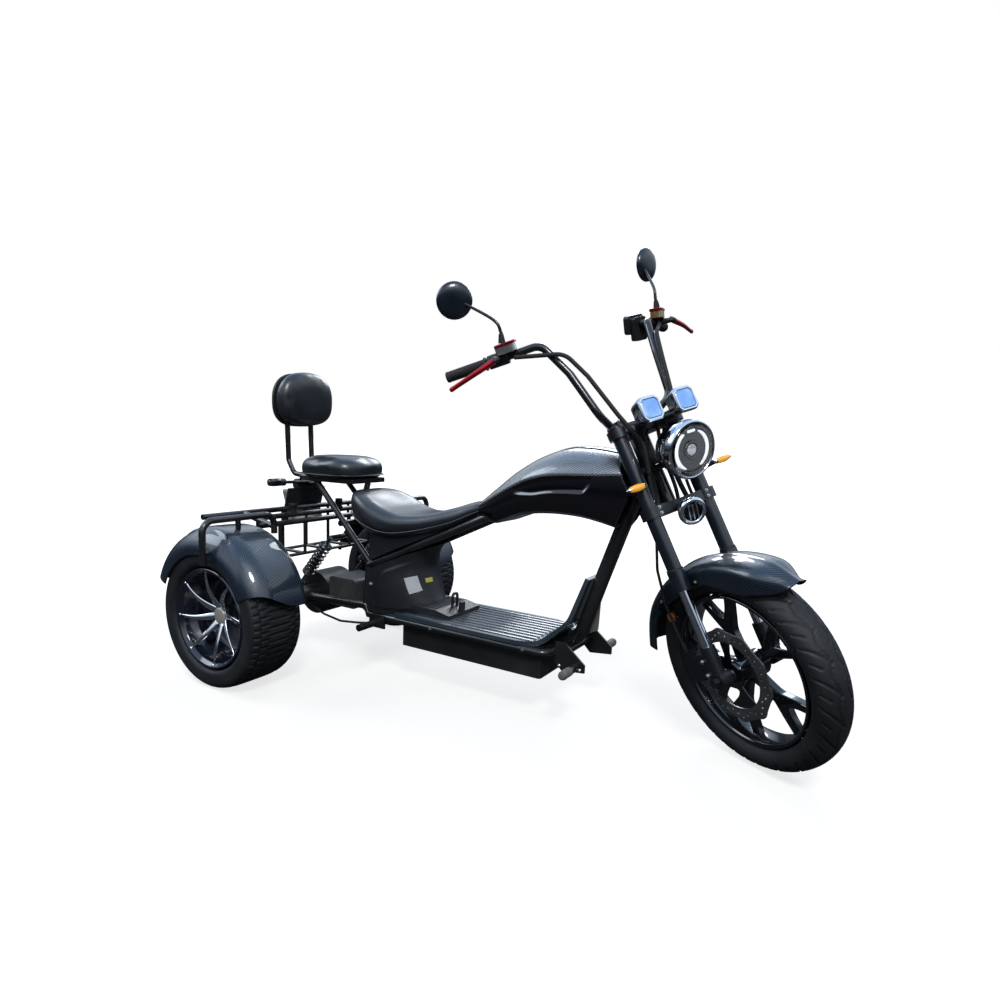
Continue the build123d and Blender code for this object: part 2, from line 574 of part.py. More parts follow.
# Fork legs, with the collar at the height of the front fender's stay
GUARD_CX = WHEELBASE + 53
GUARD_CZ = FRONT_TYRE_R - 85
GUARD_R = FRONT_TYRE_R + 129
STAY_R = GUARD_R - 37
LEG_FOOT = on_fork(LEG_FORWARD, 0, 0)
FOOT_DX = LEG_FOOT[0] - GUARD_CX
FOOT_DZ = LEG_FOOT[2] - GUARD_CZ
FOOT_ALONG = FOOT_DZ * RAKE_C - FOOT_DX * RAKE_S
STAY_ALONG = -FOOT_ALONG + (FOOT_ALONG ** 2 - FOOT_DX ** 2 - FOOT_DZ ** 2 + STAY_R ** 2) ** 0.5
LEG_TOP = 722
LEG_LOW = STAY_ALONG - 14
SLIDER_R = 14
SLIDER_LOW = 92
with BuildPart() as fork_uppers:
    for side in (1, -1):
        with BuildSketch(fork_plane(LEG_LOW, LEG_FORWARD, side * LEG_Y)):
            Circle(LEG_R)
        extrude(amount=LEG_TOP - LEG_LOW)
        with BuildSketch(fork_plane(LEG_LOW - 12, LEG_FORWARD, side * LEG_Y)):
            Circle(LEG_R + 3)
        extrude(amount=56)
with BuildPart() as fork_sliders:
    for side in (1, -1):
        with BuildSketch(fork_plane(SLIDER_LOW, LEG_FORWARD, side * LEG_Y)):
            Circle(SLIDER_R)
        extrude(amount=LEG_LOW - 12 - SLIDER_LOW)
AXLE_R = 7.5
with BuildPart() as fork_feet:
    for side in (1, -1):
        with BuildSketch(fork_plane(-6, LEG_FORWARD, side * LEG_Y)):
            Circle(LEG_R)
        extrude(amount=SLIDER_LOW + 6)
        with BuildSketch(Plane(origin=(WHEELBASE, side * LEG_Y - 17, FRONT_TYRE_R), z_dir=(0, 1, 0))):
            Circle(24)
        extrude(amount=34)
        with BuildSketch(Plane(origin=(WHEELBASE, side * (LEG_Y + 24) - 7, FRONT_TYRE_R), z_dir=(0, 1, 0))):
            RegularPolygon(13, 6)
        extrude(amount=14)
    with BuildSketch(Plane(origin=(WHEELBASE, -LEG_Y - 10, FRONT_TYRE_R), z_dir=(0, 1, 0))):
        Circle(AXLE_R)
    extrude(amount=2 * LEG_Y + 20)

# Front fender
GUARD_FROM = 74
GUARD_TO = 176
GUARD_HALF = 68
with BuildPart() as front_fender:
    with BuildSketch(Plane(origin=(GUARD_CX, 0, GUARD_CZ), x_dir=(0, 1, 0), z_dir=(1, 0, 0))) as guard_face:
        for shrink, mode in ((0, Mode.ADD), (3, Mode.SUBTRACT)):
            with BuildLine():
                Line((-GUARD_HALF + shrink, GUARD_R - 60 - shrink), (-GUARD_HALF + shrink, GUARD_R - 26))
                ThreePointArc((-GUARD_HALF + shrink, GUARD_R - 26), (0, GUARD_R - shrink),
                              (GUARD_HALF - shrink, GUARD_R - 26))
                Line((GUARD_HALF - shrink, GUARD_R - 26), (GUARD_HALF - shrink, GUARD_R - 60 - shrink))
                Line((GUARD_HALF - shrink, GUARD_R - 60 - shrink),
                     (-GUARD_HALF + shrink, GUARD_R - 60 - shrink))
            make_face(mode=mode)
    guard_spin = Axis((GUARD_CX, 0, GUARD_CZ), (0, 1, 0))
    revolve(guard_face.sketch.rotate(guard_spin, 90 - GUARD_TO), axis=guard_spin,
            revolution_arc=GUARD_TO - GUARD_FROM)
    # lower edge: a wider arc that meets the crown at both tips
    with BuildSketch(Plane(origin=(GUARD_CX + 158, -GUARD_HALF - 2, GUARD_CZ - 207), z_dir=(0, 1, 0))):
        Circle(GUARD_R + 194)
    extrude(amount=2 * GUARD_HALF + 4, mode=Mode.SUBTRACT)
    for side in (1, -1):
        x, y, z = on_fork(LEG_FORWARD, side * (GUARD_HALF - 2), STAY_ALONG)
        rod([(x, y, z), (x, side * (LEG_Y - LEG_R - 3 - SEAT_GAP), z)], 14)

# Headlamp
LAMP_X, LAMP_Z = nose(106, 598)
LAMP_R = 77
with BuildPart() as headlamp_shell:
    with BuildSketch(Plane.XZ):
        with BuildLine():
            Polyline((LAMP_X, LAMP_Z), (LAMP_X, LAMP_Z + LAMP_R - 6))
            Polyline((LAMP_X, LAMP_Z + LAMP_R - 6), (LAMP_X - 4, LAMP_Z + LAMP_R),
                     (LAMP_X - 24, LAMP_Z + LAMP_R), (LAMP_X - 28, LAMP_Z + LAMP_R - 5))
            ThreePointArc((LAMP_X - 28, LAMP_Z + LAMP_R - 5), (LAMP_X - 84, LAMP_Z + 50),
                          (LAMP_X - 112, LAMP_Z))
            Line((LAMP_X - 112, LAMP_Z), (LAMP_X, LAMP_Z))
        make_face()
    revolve(axis=Axis((0, 0, LAMP_Z), (1, 0, 0)))
    with BuildSketch(Plane(origin=(LAMP_X - 12, 0, LAMP_Z), x_dir=(0, 1, 0), z_dir=(1, 0, 0))):
        Circle(LAMP_R - 7)
    extrude(amount=20, mode=Mode.SUBTRACT)
    rod([on_fork(LEG_FORWARD, -LEG_Y + LEG_R + SEAT_GAP, 585),
         on_fork(LEG_FORWARD, LEG_Y - LEG_R - SEAT_GAP, 585)], 9)
    rod([on_fork(LEG_FORWARD, 0, 585), (LAMP_X - 90, 0, LAMP_Z)], 12)
with BuildPart() as headlamp_lens:
    with BuildSketch(Plane(origin=(LAMP_X - 12, 0, LAMP_Z), x_dir=(0, 1, 0), z_dir=(1, 0, 0))):
        Circle(LAMP_R - 7)
    extrude(amount=16)

# Horn with upright slats, on a bracket from the lower clamp
HORN_X, HORN_Z = nose(157, 432)
HORN_R = 36
HORN_T = 40
with BuildPart() as horn:
    with BuildSketch(Plane(origin=(HORN_X, 0, HORN_Z), x_dir=(0, 1, 0), z_dir=(1, 0, 0))):
        Circle(HORN_R)
        Circle(HORN_R - 8, mode=Mode.SUBTRACT)
        with Locations((-13, 0), (0, 0), (13, 0)):
            Rectangle(5, 2 * HORN_R - 12)
    extrude(amount=HORN_T)
    with BuildSketch(Plane(origin=(HORN_X, 0, HORN_Z), x_dir=(0, 1, 0), z_dir=(1, 0, 0))):
        Circle(HORN_R)
    extrude(amount=HORN_T - 9)
    rod([(HORN_X + 2, 0, HORN_Z), (on_fork(10, 0, CLAMP_LOW + 13)[0], 0, HORN_Z)], 9)
    add(fork_clamps.part, mode=Mode.SUBTRACT)
    split(bisect_by=Plane(origin=on_fork(CLAMP_FRONT + SEAT_GAP, 0, 0), z_dir=(RAKE_C, 0, RAKE_S)))

# Front turn signals
with BuildPart() as turn_signals:
    for side in (1, -1):
        rod([on_fork(LEG_FORWARD + 14, side * (LEG_Y + 15), 540), on_fork(100, side * 125, 542)], 7)
        rod([on_fork(100, side * 120, 542), on_fork(104, side * 182, 542)], 13)
        with BuildSketch(fork_plane(LEG_LOW, LEG_FORWARD, side * LEG_Y)):
            Circle(LEG_R)
        extrude(amount=LEG_TOP - LEG_LOW, mode=Mode.SUBTRACT)

# Gauge pods
with BuildPart() as gauge_pods:
    for side in (1, -1):
        with BuildSketch(fork_plane(686, 141, side * 58)):
            RectangleRounded(54, 68, 12)
        extrude(amount=68)
    with BuildSketch(fork_plane(695, 78, 0)):
        Rectangle(96, 120)
    extrude(amount=8)
    with BuildSketch(fork_plane(CLAMP_TOP - 0.01)):
        with Locations((LEG_FORWARD, LEG_Y), (LEG_FORWARD, -LEG_Y)):
            Circle(LEG_R + 9 + SEAT_GAP)
        Polygon((-20, -30), (LEG_FORWARD - 18, -LEG_Y - 15), (LEG_FORWARD + 22, -LEG_Y + 15),
                (CLAMP_FRONT, 0), (LEG_FORWARD + 22, LEG_Y - 15), (LEG_FORWARD - 18, LEG_Y + 15),
                    (-20, 30), align=None)
    extrude(amount=30, mode=Mode.SUBTRACT)

# Bar end pieces, given by distance in from the end of the bar
BAR_END = Vector(*BAR_SIDE[-1])
BAR_IN = (Vector(*BAR_SIDE[-2]) - BAR_END).normalized()


def bar_point(distance, side=1, lift=0, ahead=0):
    """Point beside the end stretch of the handlebar."""
    p = BAR_END + BAR_IN * distance
    return (p.X + ahead, side * p.Y, p.Z + lift)


GRIP_L = 125
GRIP_R = 16
with BuildPart() as grips:
    for side in (1, -1):
        rod([bar_point(-4, side), bar_point(GRIP_L, side)], GRIP_R)
    rod(BAR_ROUTE, BAR_R, BAR_BENDS, mode=Mode.SUBTRACT)

with BuildPart() as bar_controls:
    for side in (1, -1):
        rod([bar_point(GRIP_L + 1, side), bar_point(GRIP_L + 62, side)], 20)
        rod([bar_point(GRIP_L + 35, side, 0, 4), bar_point(GRIP_L + 35, side, 4, 44)], 12)
        rod([bar_point(GRIP_L + 40, side, 10, 18), bar_point(GRIP_L + 40, side, 44, 18)], 21)
    rod(BAR_ROUTE, BAR_R, BAR_BENDS, mode=Mode.SUBTRACT)

with BuildPart() as brake_levers:
    for side in (1, -1):
        rod([bar_point(GRIP_L + 35, side, 4, 51), bar_point(GRIP_L + 5, side, 2, 70),
             (AXIS_X - 552, side * 446, AXIS_Z + 830)], 6, 30)

# Phone holder: open frame and its block, behind the left side of the handlebar
with BuildPart() as phone_holder:
    rod([bar_point(GRIP_L + 88, 1, 0, 0), bar_point(GRIP_L + 88, 1, 2, -50)], 9)
    with BuildSketch(Plane(origin=bar_point(GRIP_L + 88, 1, -16, -50), x_dir=(0, 1, 0), z_dir=(-1, 0, 0))):
        RectangleRounded(46, 72, 8)
    extrude(amount=22)
    with BuildSketch(Plane(origin=bar_point(GRIP_L + 88, 1, -2, -71), x_dir=(0, 1, 0), z_dir=(-1, 0, 0))):
        RectangleRounded(60, 58, 10)
        RectangleRounded(46, 44, 6, mode=Mode.SUBTRACT)
    extrude(amount=24)
    rod(BAR_ROUTE, BAR_R, BAR_BENDS, mode=Mode.SUBTRACT)

# Mirrors
MIRROR = (AXIS_X - 627, 345, AXIS_Z + 1061)
MIRROR_R = 52
MIRROR_TURN = 18
with BuildPart() as mirrors:
    for side in (1, -1):
        rod([bar_point(GRIP_L + 40, side, 44.3, 18), bar_point(GRIP_L + 42, side, 74, 16),
             bar_point(GRIP_L + 30, side, 110, 8),
             (MIRROR[0] + 6, side * (MIRROR[1] - 18), MIRROR[2] - 10)], 5, [20, 20])
        facing = (cos(radians(MIRROR_TURN)), side * sin(radians(MIRROR_TURN)), 0)
        with BuildSketch(Plane(origin=(MIRROR[0] - 10, side * MIRROR[1], MIRROR[2]), z_dir=facing)):
            Circle(MIRROR_R)
        extrude(amount=20)

# Front brake: disc on the right of the hub, caliper on the right fork foot
DISC_Y = 59
DISC_T = 4
DISC_R = 130
with BuildPart() as front_caliper:
    with BuildSketch(Plane(origin=on_fork(-52, -88, 38), x_dir=(RAKE_C, 0, RAKE_S), z_dir=(0, 1, 0))):
        RectangleRounded(62, 84, 12)
    extrude(amount=44)
    with BuildSketch(Plane(origin=on_fork(8, -98, 38), x_dir=(RAKE_C, 0, RAKE_S), z_dir=(0, 1, 0))):
        Rectangle(76, 60)
    extrude(amount=12)
    with BuildSketch(Plane(origin=(WHEELBASE, -66, FRONT_TYRE_R), z_dir=(0, 1, 0))):
        Circle(DISC_R + 2)
    extrude(amount=10, mode=Mode.SUBTRACT)
    with BuildSketch(fork_plane(-20, LEG_FORWARD, -LEG_Y)):
        Circle(LEG_R + SEAT_GAP)
    extrude(amount=130, mode=Mode.SUBTRACT)

# Brake hose from the lower clamp to the caliper
with BuildPart() as brake_hose:
    rod([on_fork(10, -62, CLAMP_LOW - 6), on_fork(-20, -64, 400),
         on_fork(-60, -72, 320), on_fork(-74, -80, 220),
         on_fork(-68, -84, 130), on_fork(-58, -86, 80.3)], 4, [60, 60, 60, 60])

# Control cables from the bar controls down to the headlamp
with BuildPart() as control_cables:
    for side in (1, -1):
        rod([bar_point(GRIP_L + 62.5, side, -4, 30)] + [(AXIS_X - back, side * y, AXIS_Z + up)
            for back, up, y in ((395, 875, 160), (343, 809, 130), (273, 699, 96))]
            + [on_fork(84, side * 60, 650), on_fork(57.7, side * 60, 575)], 6, [60, 60, 60, 60])

# Front wheel
with BuildPart() as front_tyre:
    with BuildSketch(Plane(origin=(WHEELBASE, 0, FRONT_TYRE_R), x_dir=(0, 1, 0),
                           z_dir=(-1, 0, 0))):
        with Locations((0, (FRONT_TYRE_R + FRONT_RIM_R) / 2 - 3)):
            Ellipse(FRONT_TYRE_W / 2, (FRONT_TYRE_R - FRONT_RIM_R) / 2 + 3)
        with Locations((0, FRONT_RIM_R - 20)):
            Rectangle(FRONT_TYRE_W, 40, mode=Mode.SUBTRACT)
    revolve(axis=Axis((WHEELBASE, 0, FRONT_TYRE_R), (0, 1, 0)))
HUB_HALF = LEG_Y - LEG_R - SEAT_GAP
# five forked spokes
SPOKE_T = 24
FRONT_SPOKE_TURN = 24
FORK_R = 108
LIMB_R = FRONT_RIM_R - 16
LIMB_Y = 50
with BuildPart() as front_rim:
    with BuildSketch(Plane(origin=(WHEELBASE, -40, FRONT_TYRE_R), z_dir=(0, 1, 0))):
        Circle(FRONT_RIM_R)
        Circle(FRONT_RIM_R - 14, mode=Mode.SUBTRACT)
    extrude(amount=80)
    with BuildSketch(Plane(origin=(WHEELBASE, -DISC_Y, FRONT_TYRE_R), z_dir=(0, 1, 0))):
        Circle(36)
    extrude(amount=DISC_Y + 48)
    with BuildSketch(Plane(origin=(WHEELBASE, -SPOKE_T / 2, FRONT_TYRE_R), x_dir=(1, 0, 0), z_dir=(0, 1, 0))):
        with PolarLocations(0, 5, FRONT_SPOKE_TURN):
            Polygon((26, -15), (FORK_R, -10), (LIMB_R, -LIMB_Y - 7),
                    (LIMB_R + 5, -LIMB_Y + 8), (FORK_R + 24, 0),
                    (LIMB_R + 5, LIMB_Y - 8), (LIMB_R, LIMB_Y + 7), (FORK_R, 10), (26, 15), align=None)
    extrude(amount=SPOKE_T)
    with BuildSketch(Plane(origin=(WHEELBASE, -HUB_HALF, FRONT_TYRE_R), z_dir=(0, 1, 0))):
        Circle(18)
    extrude(amount=2 * HUB_HALF)
    with BuildSketch(Plane(origin=(WHEELBASE, -100, FRONT_TYRE_R), z_dir=(0, 1, 0))):
        Circle(AXLE_R + BEARING_GAP)
    extrude(amount=200, mode=Mode.SUBTRACT)
with BuildPart() as front_disc:
    with BuildSketch(Plane(origin=(WHEELBASE, -DISC_Y - DISC_T, FRONT_TYRE_R), z_dir=(0, 1, 0))):
        Circle(DISC_R)
        Circle(DISC_R - 48, mode=Mode.SUBTRACT)
        with PolarLocations(0, 5):
            with Locations((DISC_R / 2 - 6, 0)):
                Rectangle(DISC_R - 52, 16)
        Circle(30)
        Circle(20, mode=Mode.SUBTRACT)
    extrude(amount=DISC_T)

# Rear wheels
SPOKES = 8
REAR_SPOKE_TURN = 5
HUB_R = 32
HUB_DEPTH = 52
LIP_DEPTH = 96
SHOULDER_R = 40
BEAD_STEP = 8
wheel_parts = {}
for name, side in (("left", 1), ("right", -1)):
    centre_y = side * HALF_TRACK
    with BuildPart() as rear_tyre:
        with BuildSketch(Plane(origin=(0, centre_y, REAR_TYRE_R), x_dir=(0, 1, 0), z_dir=(-1, 0, 0))):
            half = REAR_TYRE_W / 2
            with BuildLine():
                FilletPolyline((-half + BEAD_STEP, REAR_RIM_R), (-half, REAR_TYRE_R), (half, REAR_TYRE_R),
                               (half - BEAD_STEP, REAR_RIM_R), radius=SHOULDER_R)
                Line((half - BEAD_STEP, REAR_RIM_R), (-half + BEAD_STEP, REAR_RIM_R))
            make_face()
        revolve(axis=Axis((0, 0, REAR_TYRE_R), (0, 1, 0)))
    with BuildPart() as rear_rim:
        with BuildSketch(Plane(origin=(0, centre_y - LIP_DEPTH, REAR_TYRE_R), z_dir=(0, 1, 0))):
            Circle(REAR_RIM_R)
            Circle(REAR_RIM_R - 8, mode=Mode.SUBTRACT)
        extrude(amount=2 * LIP_DEPTH)
        for turn in range(SPOKES):
            angle = radians(turn * 360 / SPOKES + REAR_SPOKE_TURN)
            out = (cos(angle), 0, sin(angle))
            across = (-sin(angle), 0, cos(angle))
            for radius, depth, width in ((HUB_R - 14, HUB_DEPTH - 8, 19), (REAR_RIM_R - 6, LIP_DEPTH - 8, 9)):
                root = (radius * out[0], centre_y + side * depth, REAR_TYRE_R + radius * out[2])
                with BuildSketch(Plane(origin=root, x_dir=across, z_dir=out)):
                    Rectangle(width, 10)
            loft()
        web_in, web_out = sorted((centre_y - 30 * side, centre_y - 18 * side))
        with BuildSketch(Plane(origin=(0, web_in, REAR_TYRE_R), z_dir=(0, 1, 0))):
            Circle(REAR_RIM_R - 4)
        extrude(amount=web_out - web_in)
        hub_in, hub_out = sorted((centre_y - 30 * side, centre_y + HUB_DEPTH * side))
        with BuildSketch(Plane(origin=(0, hub_in, REAR_TYRE_R), z_dir=(0, 1, 0))):
            Circle(HUB_R)
        extrude(amount=hub_out - hub_in)
        bore_in, bore_out = sorted((centre_y - 60 * side, centre_y + (20 + SEAT_GAP) * side))
        with BuildSketch(Plane(origin=(0, bore_in, REAR_TYRE_R), z_dir=(0, 1, 0))):
            Circle(STUB_R + BEARING_GAP)
        extrude(amount=bore_out - bore_in, mode=Mode.SUBTRACT)
    wheel_parts["rear_tyre_" + name] = rear_tyre.part
    wheel_parts["rear_rim_" + name] = rear_rim.part

# Placing and export
STEER_AXIS = Axis((AXIS_X, 0, AXIS_Z), (-RAKE_S, 0, RAKE_C))
fixed = {
    "main_frame": main_frame.part, "front_pegs": front_pegs.part, "battery_box": battery_box.part,
    "floorboard": floorboard.part, "battery_hatch": battery_hatch.part, "body_cover": body_cover.part,
    "saddle": saddle.part, "seat_pan": seat_pan.part, "tank_shell": tank_shell.part,
    "tank_lower": tank_lower.part, "pillion_frame": pillion_frame.part, "pillion_pad": pillion_pad.part,
    "backrest_shell": backrest_shell.part, "backrest_pad": backrest_pad.part, "rear_axle": rear_axle.part,
    "drive_motor": drive_motor.part, "rear_shocks": rear_shocks.part, "rear_fenders": rear_fenders.part,
    "rear_rack": rear_rack.part, "tail_lamps": tail_lamps.part, "rear_pegs": rear_pegs.part,
    "brake_cable": brake_cable.part, **wheel_parts,
}
steered = {
    "fork_clamps": clamp_cut.part, "handlebar": handlebar.part, "fork_uppers": fork_uppers.part,
    "fork_sliders": fork_sliders.part, "fork_feet": fork_feet.part, "front_fender": front_fender.part,
    "headlamp_shell": headlamp_shell.part, "headlamp_lens": headlamp_lens.part, "horn": horn.part,
    "turn_signals": turn_signals.part, "gauge_pods": gauge_pods.part, "grips": grips.part,
    "bar_controls": bar_controls.part, "brake_levers": brake_levers.part, "mirrors": mirrors.part,
    "phone_holder": phone_holder.part,
    "front_caliper": front_caliper.part, "brake_hose": brake_hose.part, "control_cables": control_cables.part,
    "front_tyre": front_tyre.part, "front_rim": front_rim.part, "front_disc": front_disc.part,
}
placed = dict(fixed)
for name, shape in steered.items():
    placed[name] = shape.rotate(STEER_AXIS, REST_STEER)
boxes = [shape.bounding_box() for shape in placed.values()]
MIDDLE_X = (min(box.min.X for box in boxes) + max(box.max.X for box in boxes)) / 2
os.makedirs("parts", exist_ok=True)
for name, shape in placed.items():
    piece = shape.moved(Location((-MIDDLE_X, 0, 0)))
    piece.label = name
    export_step(piece, "parts/" + name + ".step")
print("middle x", MIDDLE_X)
print("y", min(box.min.Y for box in boxes), max(box.max.Y for box in boxes))
print("z", min(box.min.Z for box in boxes), max(box.max.Z for box in boxes))
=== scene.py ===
import json
from math import asin, atan2, copysign, cos, degrees, exp, floor, hypot, pi, radians, sin, sqrt, tau
import bpy
import bmesh
from mathutils import Matrix, Vector


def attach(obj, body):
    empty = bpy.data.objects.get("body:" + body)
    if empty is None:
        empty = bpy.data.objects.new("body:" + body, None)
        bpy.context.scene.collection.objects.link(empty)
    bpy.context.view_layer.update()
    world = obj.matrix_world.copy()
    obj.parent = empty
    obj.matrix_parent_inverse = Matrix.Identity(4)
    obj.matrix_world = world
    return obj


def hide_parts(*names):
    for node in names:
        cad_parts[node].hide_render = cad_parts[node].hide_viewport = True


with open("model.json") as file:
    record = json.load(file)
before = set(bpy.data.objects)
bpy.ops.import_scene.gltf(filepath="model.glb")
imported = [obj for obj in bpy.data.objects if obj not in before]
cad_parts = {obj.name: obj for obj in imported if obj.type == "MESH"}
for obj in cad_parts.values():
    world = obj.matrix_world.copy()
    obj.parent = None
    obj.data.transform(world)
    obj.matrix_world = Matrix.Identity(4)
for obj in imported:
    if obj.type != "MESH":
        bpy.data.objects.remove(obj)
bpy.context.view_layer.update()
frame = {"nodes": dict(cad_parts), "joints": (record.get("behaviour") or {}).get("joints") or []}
joints = {joint["name"]: joint for joint in frame["joints"]}
AXLE_X = joints["rear_left_spin"]["pos_m"][0]


def at(x, y, z):
    """Place of a point given in millimetres: ahead of the rear axle, to the left, above the ground."""
    return Vector((x / 1000 + AXLE_X, y / 1000, z / 1000))


# Studio: one wide floor and a white surround. Seen directly or through glass both are white, with
# the trike's soft shadow; reflections and bounced light meet dark ground and a bright sky, as outdoors.
def fed(tree, made, feeds):
    """Feeds a node's inputs with values or with other nodes' sockets."""
    for place, value in feeds.items():
        if isinstance(value, bpy.types.NodeSocket):
            tree.links.new(value, made.inputs[place])
        else:
            made.inputs[place].default_value = value
    return made


def added(tree, kind, feeds={}, **settings):
    """New node in a tree, with its settings made and its inputs fed."""
    made = tree.nodes.new(kind)
    for setting, value in settings.items():
        setattr(made, setting, value)
    return fed(tree, made, feeds)


def maths(tree, operation, *values):
    """Output of a math node fed by sockets or numbers."""
    return added(tree, "ShaderNodeMath", dict(enumerate(values)), operation=operation).outputs[0]


def mixed(tree, share, first, second):
    """Shader mixed from two others."""
    return added(tree, "ShaderNodeMixShader", {0: share, 1: first.outputs[0], 2: second.outputs[0]})


def linked(name, data):
    """New object in the scene."""
    made = bpy.data.objects.new(name, data)
    bpy.context.scene.collection.objects.link(made)
    return made


floor_mesh = bpy.data.meshes.new("studio_floor")
floor_mesh.from_pydata([(-30, -30, 0), (30, -30, 0), (30, 30, 0), (-30, 30, 0)], [], [(0, 1, 2, 3)])
studio_floor = linked("studio_floor", floor_mesh)
floor_paint = bpy.data.materials.new("studio_floor_paint")
floor_paint.use_nodes = True
tree = floor_paint.node_tree
floor_matt = fed(tree, tree.nodes["Principled BSDF"], {"Base Color": (0.8, 0.8, 0.8, 1), "Roughness": 0.9,
    "Specular IOR Level": 0.1})
floor_glow = added(tree, "ShaderNodeEmission", {"Color": (1, 1, 1, 1), "Strength": 1.36})
floor_dark = added(tree, "ShaderNodeBsdfDiffuse", {"Color": (0.06, 0.06, 0.065, 1)})
floor_place = added(tree, "ShaderNodeTexCoord").outputs["Object"]
floor_reach = added(tree, "ShaderNodeVectorMath", {0: floor_place}, operation="LENGTH").outputs["Value"]
lift = added(tree, "ShaderNodeMapRange", {"Value": floor_reach, "From Min": 1.1, "From Max": 3.0, "To Min": 0.55,
    "To Max": 1.0}, interpolation_type="SMOOTHSTEP")
floor_pale = mixed(tree, lift.outputs[0], floor_matt, floor_glow)
rays = added(tree, "ShaderNodeLightPath").outputs
seen = maths(tree, "MAXIMUM", rays["Is Camera Ray"], rays["Is Transmission Ray"])
fed(tree, tree.nodes["Material Output"], {"Surface": mixed(tree, seen, floor_dark, floor_pale).outputs[0]})
floor_mesh.materials.append(floor_paint)

surround = bpy.data.worlds.new("studio_surround")
surround.use_nodes = True
tree = surround.node_tree
sky_soft = fed(tree, tree.nodes["Background"], {"Color": (0.72, 0.86, 1.0, 1), "Strength": 0.3})
sky_seen = added(tree, "ShaderNodeBackground", {"Color": (1, 1, 1, 1), "Strength": 1.0})
sky_place = added(tree, "ShaderNodeTexCoord").outputs["Generated"]
sky_ramp = added(tree, "ShaderNodeValToRGB", {0: added(tree, "ShaderNodeSeparateXYZ", {0: sky_place}).outputs["Z"]})
stops = sky_ramp.color_ramp.elements
stops[0].color, stops[1].color = (0.04, 0.045, 0.05, 1), (0.42, 0.62, 0.98, 1)
for height, colour in ((0.12, (0.05, 0.07, 0.1, 1)), (0.24, (0.34, 0.43, 0.56, 1)), (0.42, (0.95, 1.02, 1.12, 1)),
        (0.7, (0.62, 0.82, 1.1, 1))):
    stops.new(height).color = colour
sky_mirror = added(tree, "ShaderNodeBackground", {"Color": sky_ramp.outputs[0], "Strength": 1.0})
rays = added(tree, "ShaderNodeLightPath").outputs
sky_unseen = mixed(tree, rays["Is Glossy Ray"], sky_soft, sky_mirror)
seen = maths(tree, "MAXIMUM", rays["Is Camera Ray"], rays["Is Transmission Ray"])
fed(tree, tree.nodes["World Output"], {"Surface": mixed(tree, seen, sky_unseen, sky_seen).outputs[0]})
bpy.context.scene.world = surround


# Lamps: a wide key from the front right and above, a cooler fill from the back left,
# both soft, at a level where a colour comes out as it is written.
def soft_lamp(name, place, aim, size, energy, colour):
    """Round area lamp aimed at a point."""
    lamp = bpy.data.lights.new(name, "AREA")
    lamp.shape = "DISK"
    lamp.size = size
    lamp.energy = energy
    lamp.color = colour
    holder = linked(name, lamp)
    holder.location = place
    holder.rotation_euler = (Vector(aim) - Vector(place)).to_track_quat("-Z", "Y").to_euler()


soft_lamp("key_lamp", (2.4, -3.2, 4.2), (0.1, 0, 0.5), 1.3, 150, (1.0, 0.98, 0.95))
soft_lamp("fill_lamp", (-3.4, -1.6, 3.4), (0, 0, 0.5), 2.6, 60, (0.86, 0.93, 1.0))
soft_lamp("back_lamp", (-1.0, 3.6, 3.2), (0, 0, 0.6), 2.2, 90, (0.92, 0.96, 1.0))

# Camera: three quarters from the front right, a little above the tank,
# with the place, turn and focal length that were fitted to the photograph's wheels and mirrors.
lens_data = bpy.data.cameras.new("photograph_view")
lens_data.sensor_width = 36.0
lens_data.lens = 23.98
lens_data.shift_x = 0.029
lens_data.shift_y = 0.0374
lens_data.clip_end = 200
camera = linked("photograph_view", lens_data)
yaw, pitch, roll = radians(32.65), radians(9.13), radians(1.84)
look = Vector((-sin(yaw) * cos(pitch), cos(yaw) * cos(pitch), -sin(pitch)))
level = Vector((cos(yaw), sin(yaw), 0))
rise = level.cross(look)
right = level * cos(roll) + rise * sin(roll)
upward = rise * cos(roll) - level * sin(roll)
view = Matrix((right, upward, -look)).transposed().to_4x4()
view.translation = at(1857, -1862, 876)
camera.matrix_world = view
bpy.context.scene.camera = camera
bpy.context.scene.view_settings.view_transform = "Standard"


# Main frame: welded round steel tube under black enamel, from the head tube to the rear subframe.
# The enamel is glossy with a faint orange peel and a little road dust.
def group(name, kind, inputs, outputs):
    """Node group with named inputs and outputs, the sockets of its inputs and its end node."""
    tree = bpy.data.node_groups.new(name, kind)
    for way, sockets in (("INPUT", inputs), ("OUTPUT", outputs)):
        for title, socket in sockets.items():
            tree.interface.new_socket(title, in_out=way, socket_type="NodeSocket" + socket)
    return tree, tree.nodes.new("NodeGroupInput").outputs, tree.nodes.new("NodeGroupOutput")


life_group, given, end = group("surface_life", "ShaderNodeTree", {"Vector": "Vector", "Colour": "Color",
    "Dust": "Color", "Patch Scale": "Float", "Patch Amount": "Float", "Roughness": "Float",
    "Roughness Spread": "Float", "Grain Scale": "Float", "Grain Height": "Float"},
    {"Colour": "Color", "Roughness": "Float", "Normal": "Vector"})
patches, grain = (added(life_group, "ShaderNodeTexNoise", {"Vector": given["Vector"], "Scale": given[scale],
    "Detail": detail}).outputs["Fac"] for scale, detail in (("Patch Scale", 4), ("Grain Scale", 2)))
patch = added(life_group, "ShaderNodeMapRange", {"Value": patches, "From Min": 0.42,
    "From Max": 0.72}).outputs["Result"]
dusted = added(life_group, "ShaderNodeMix", {"Factor": maths(life_group, "MULTIPLY", patch, given["Patch Amount"]),
    "A": given["Colour"], "B": given["Dust"]}, data_type="RGBA")
relief = added(life_group, "ShaderNodeBump", {"Distance": 0.001, "Strength": given["Grain Height"], "Height": grain})
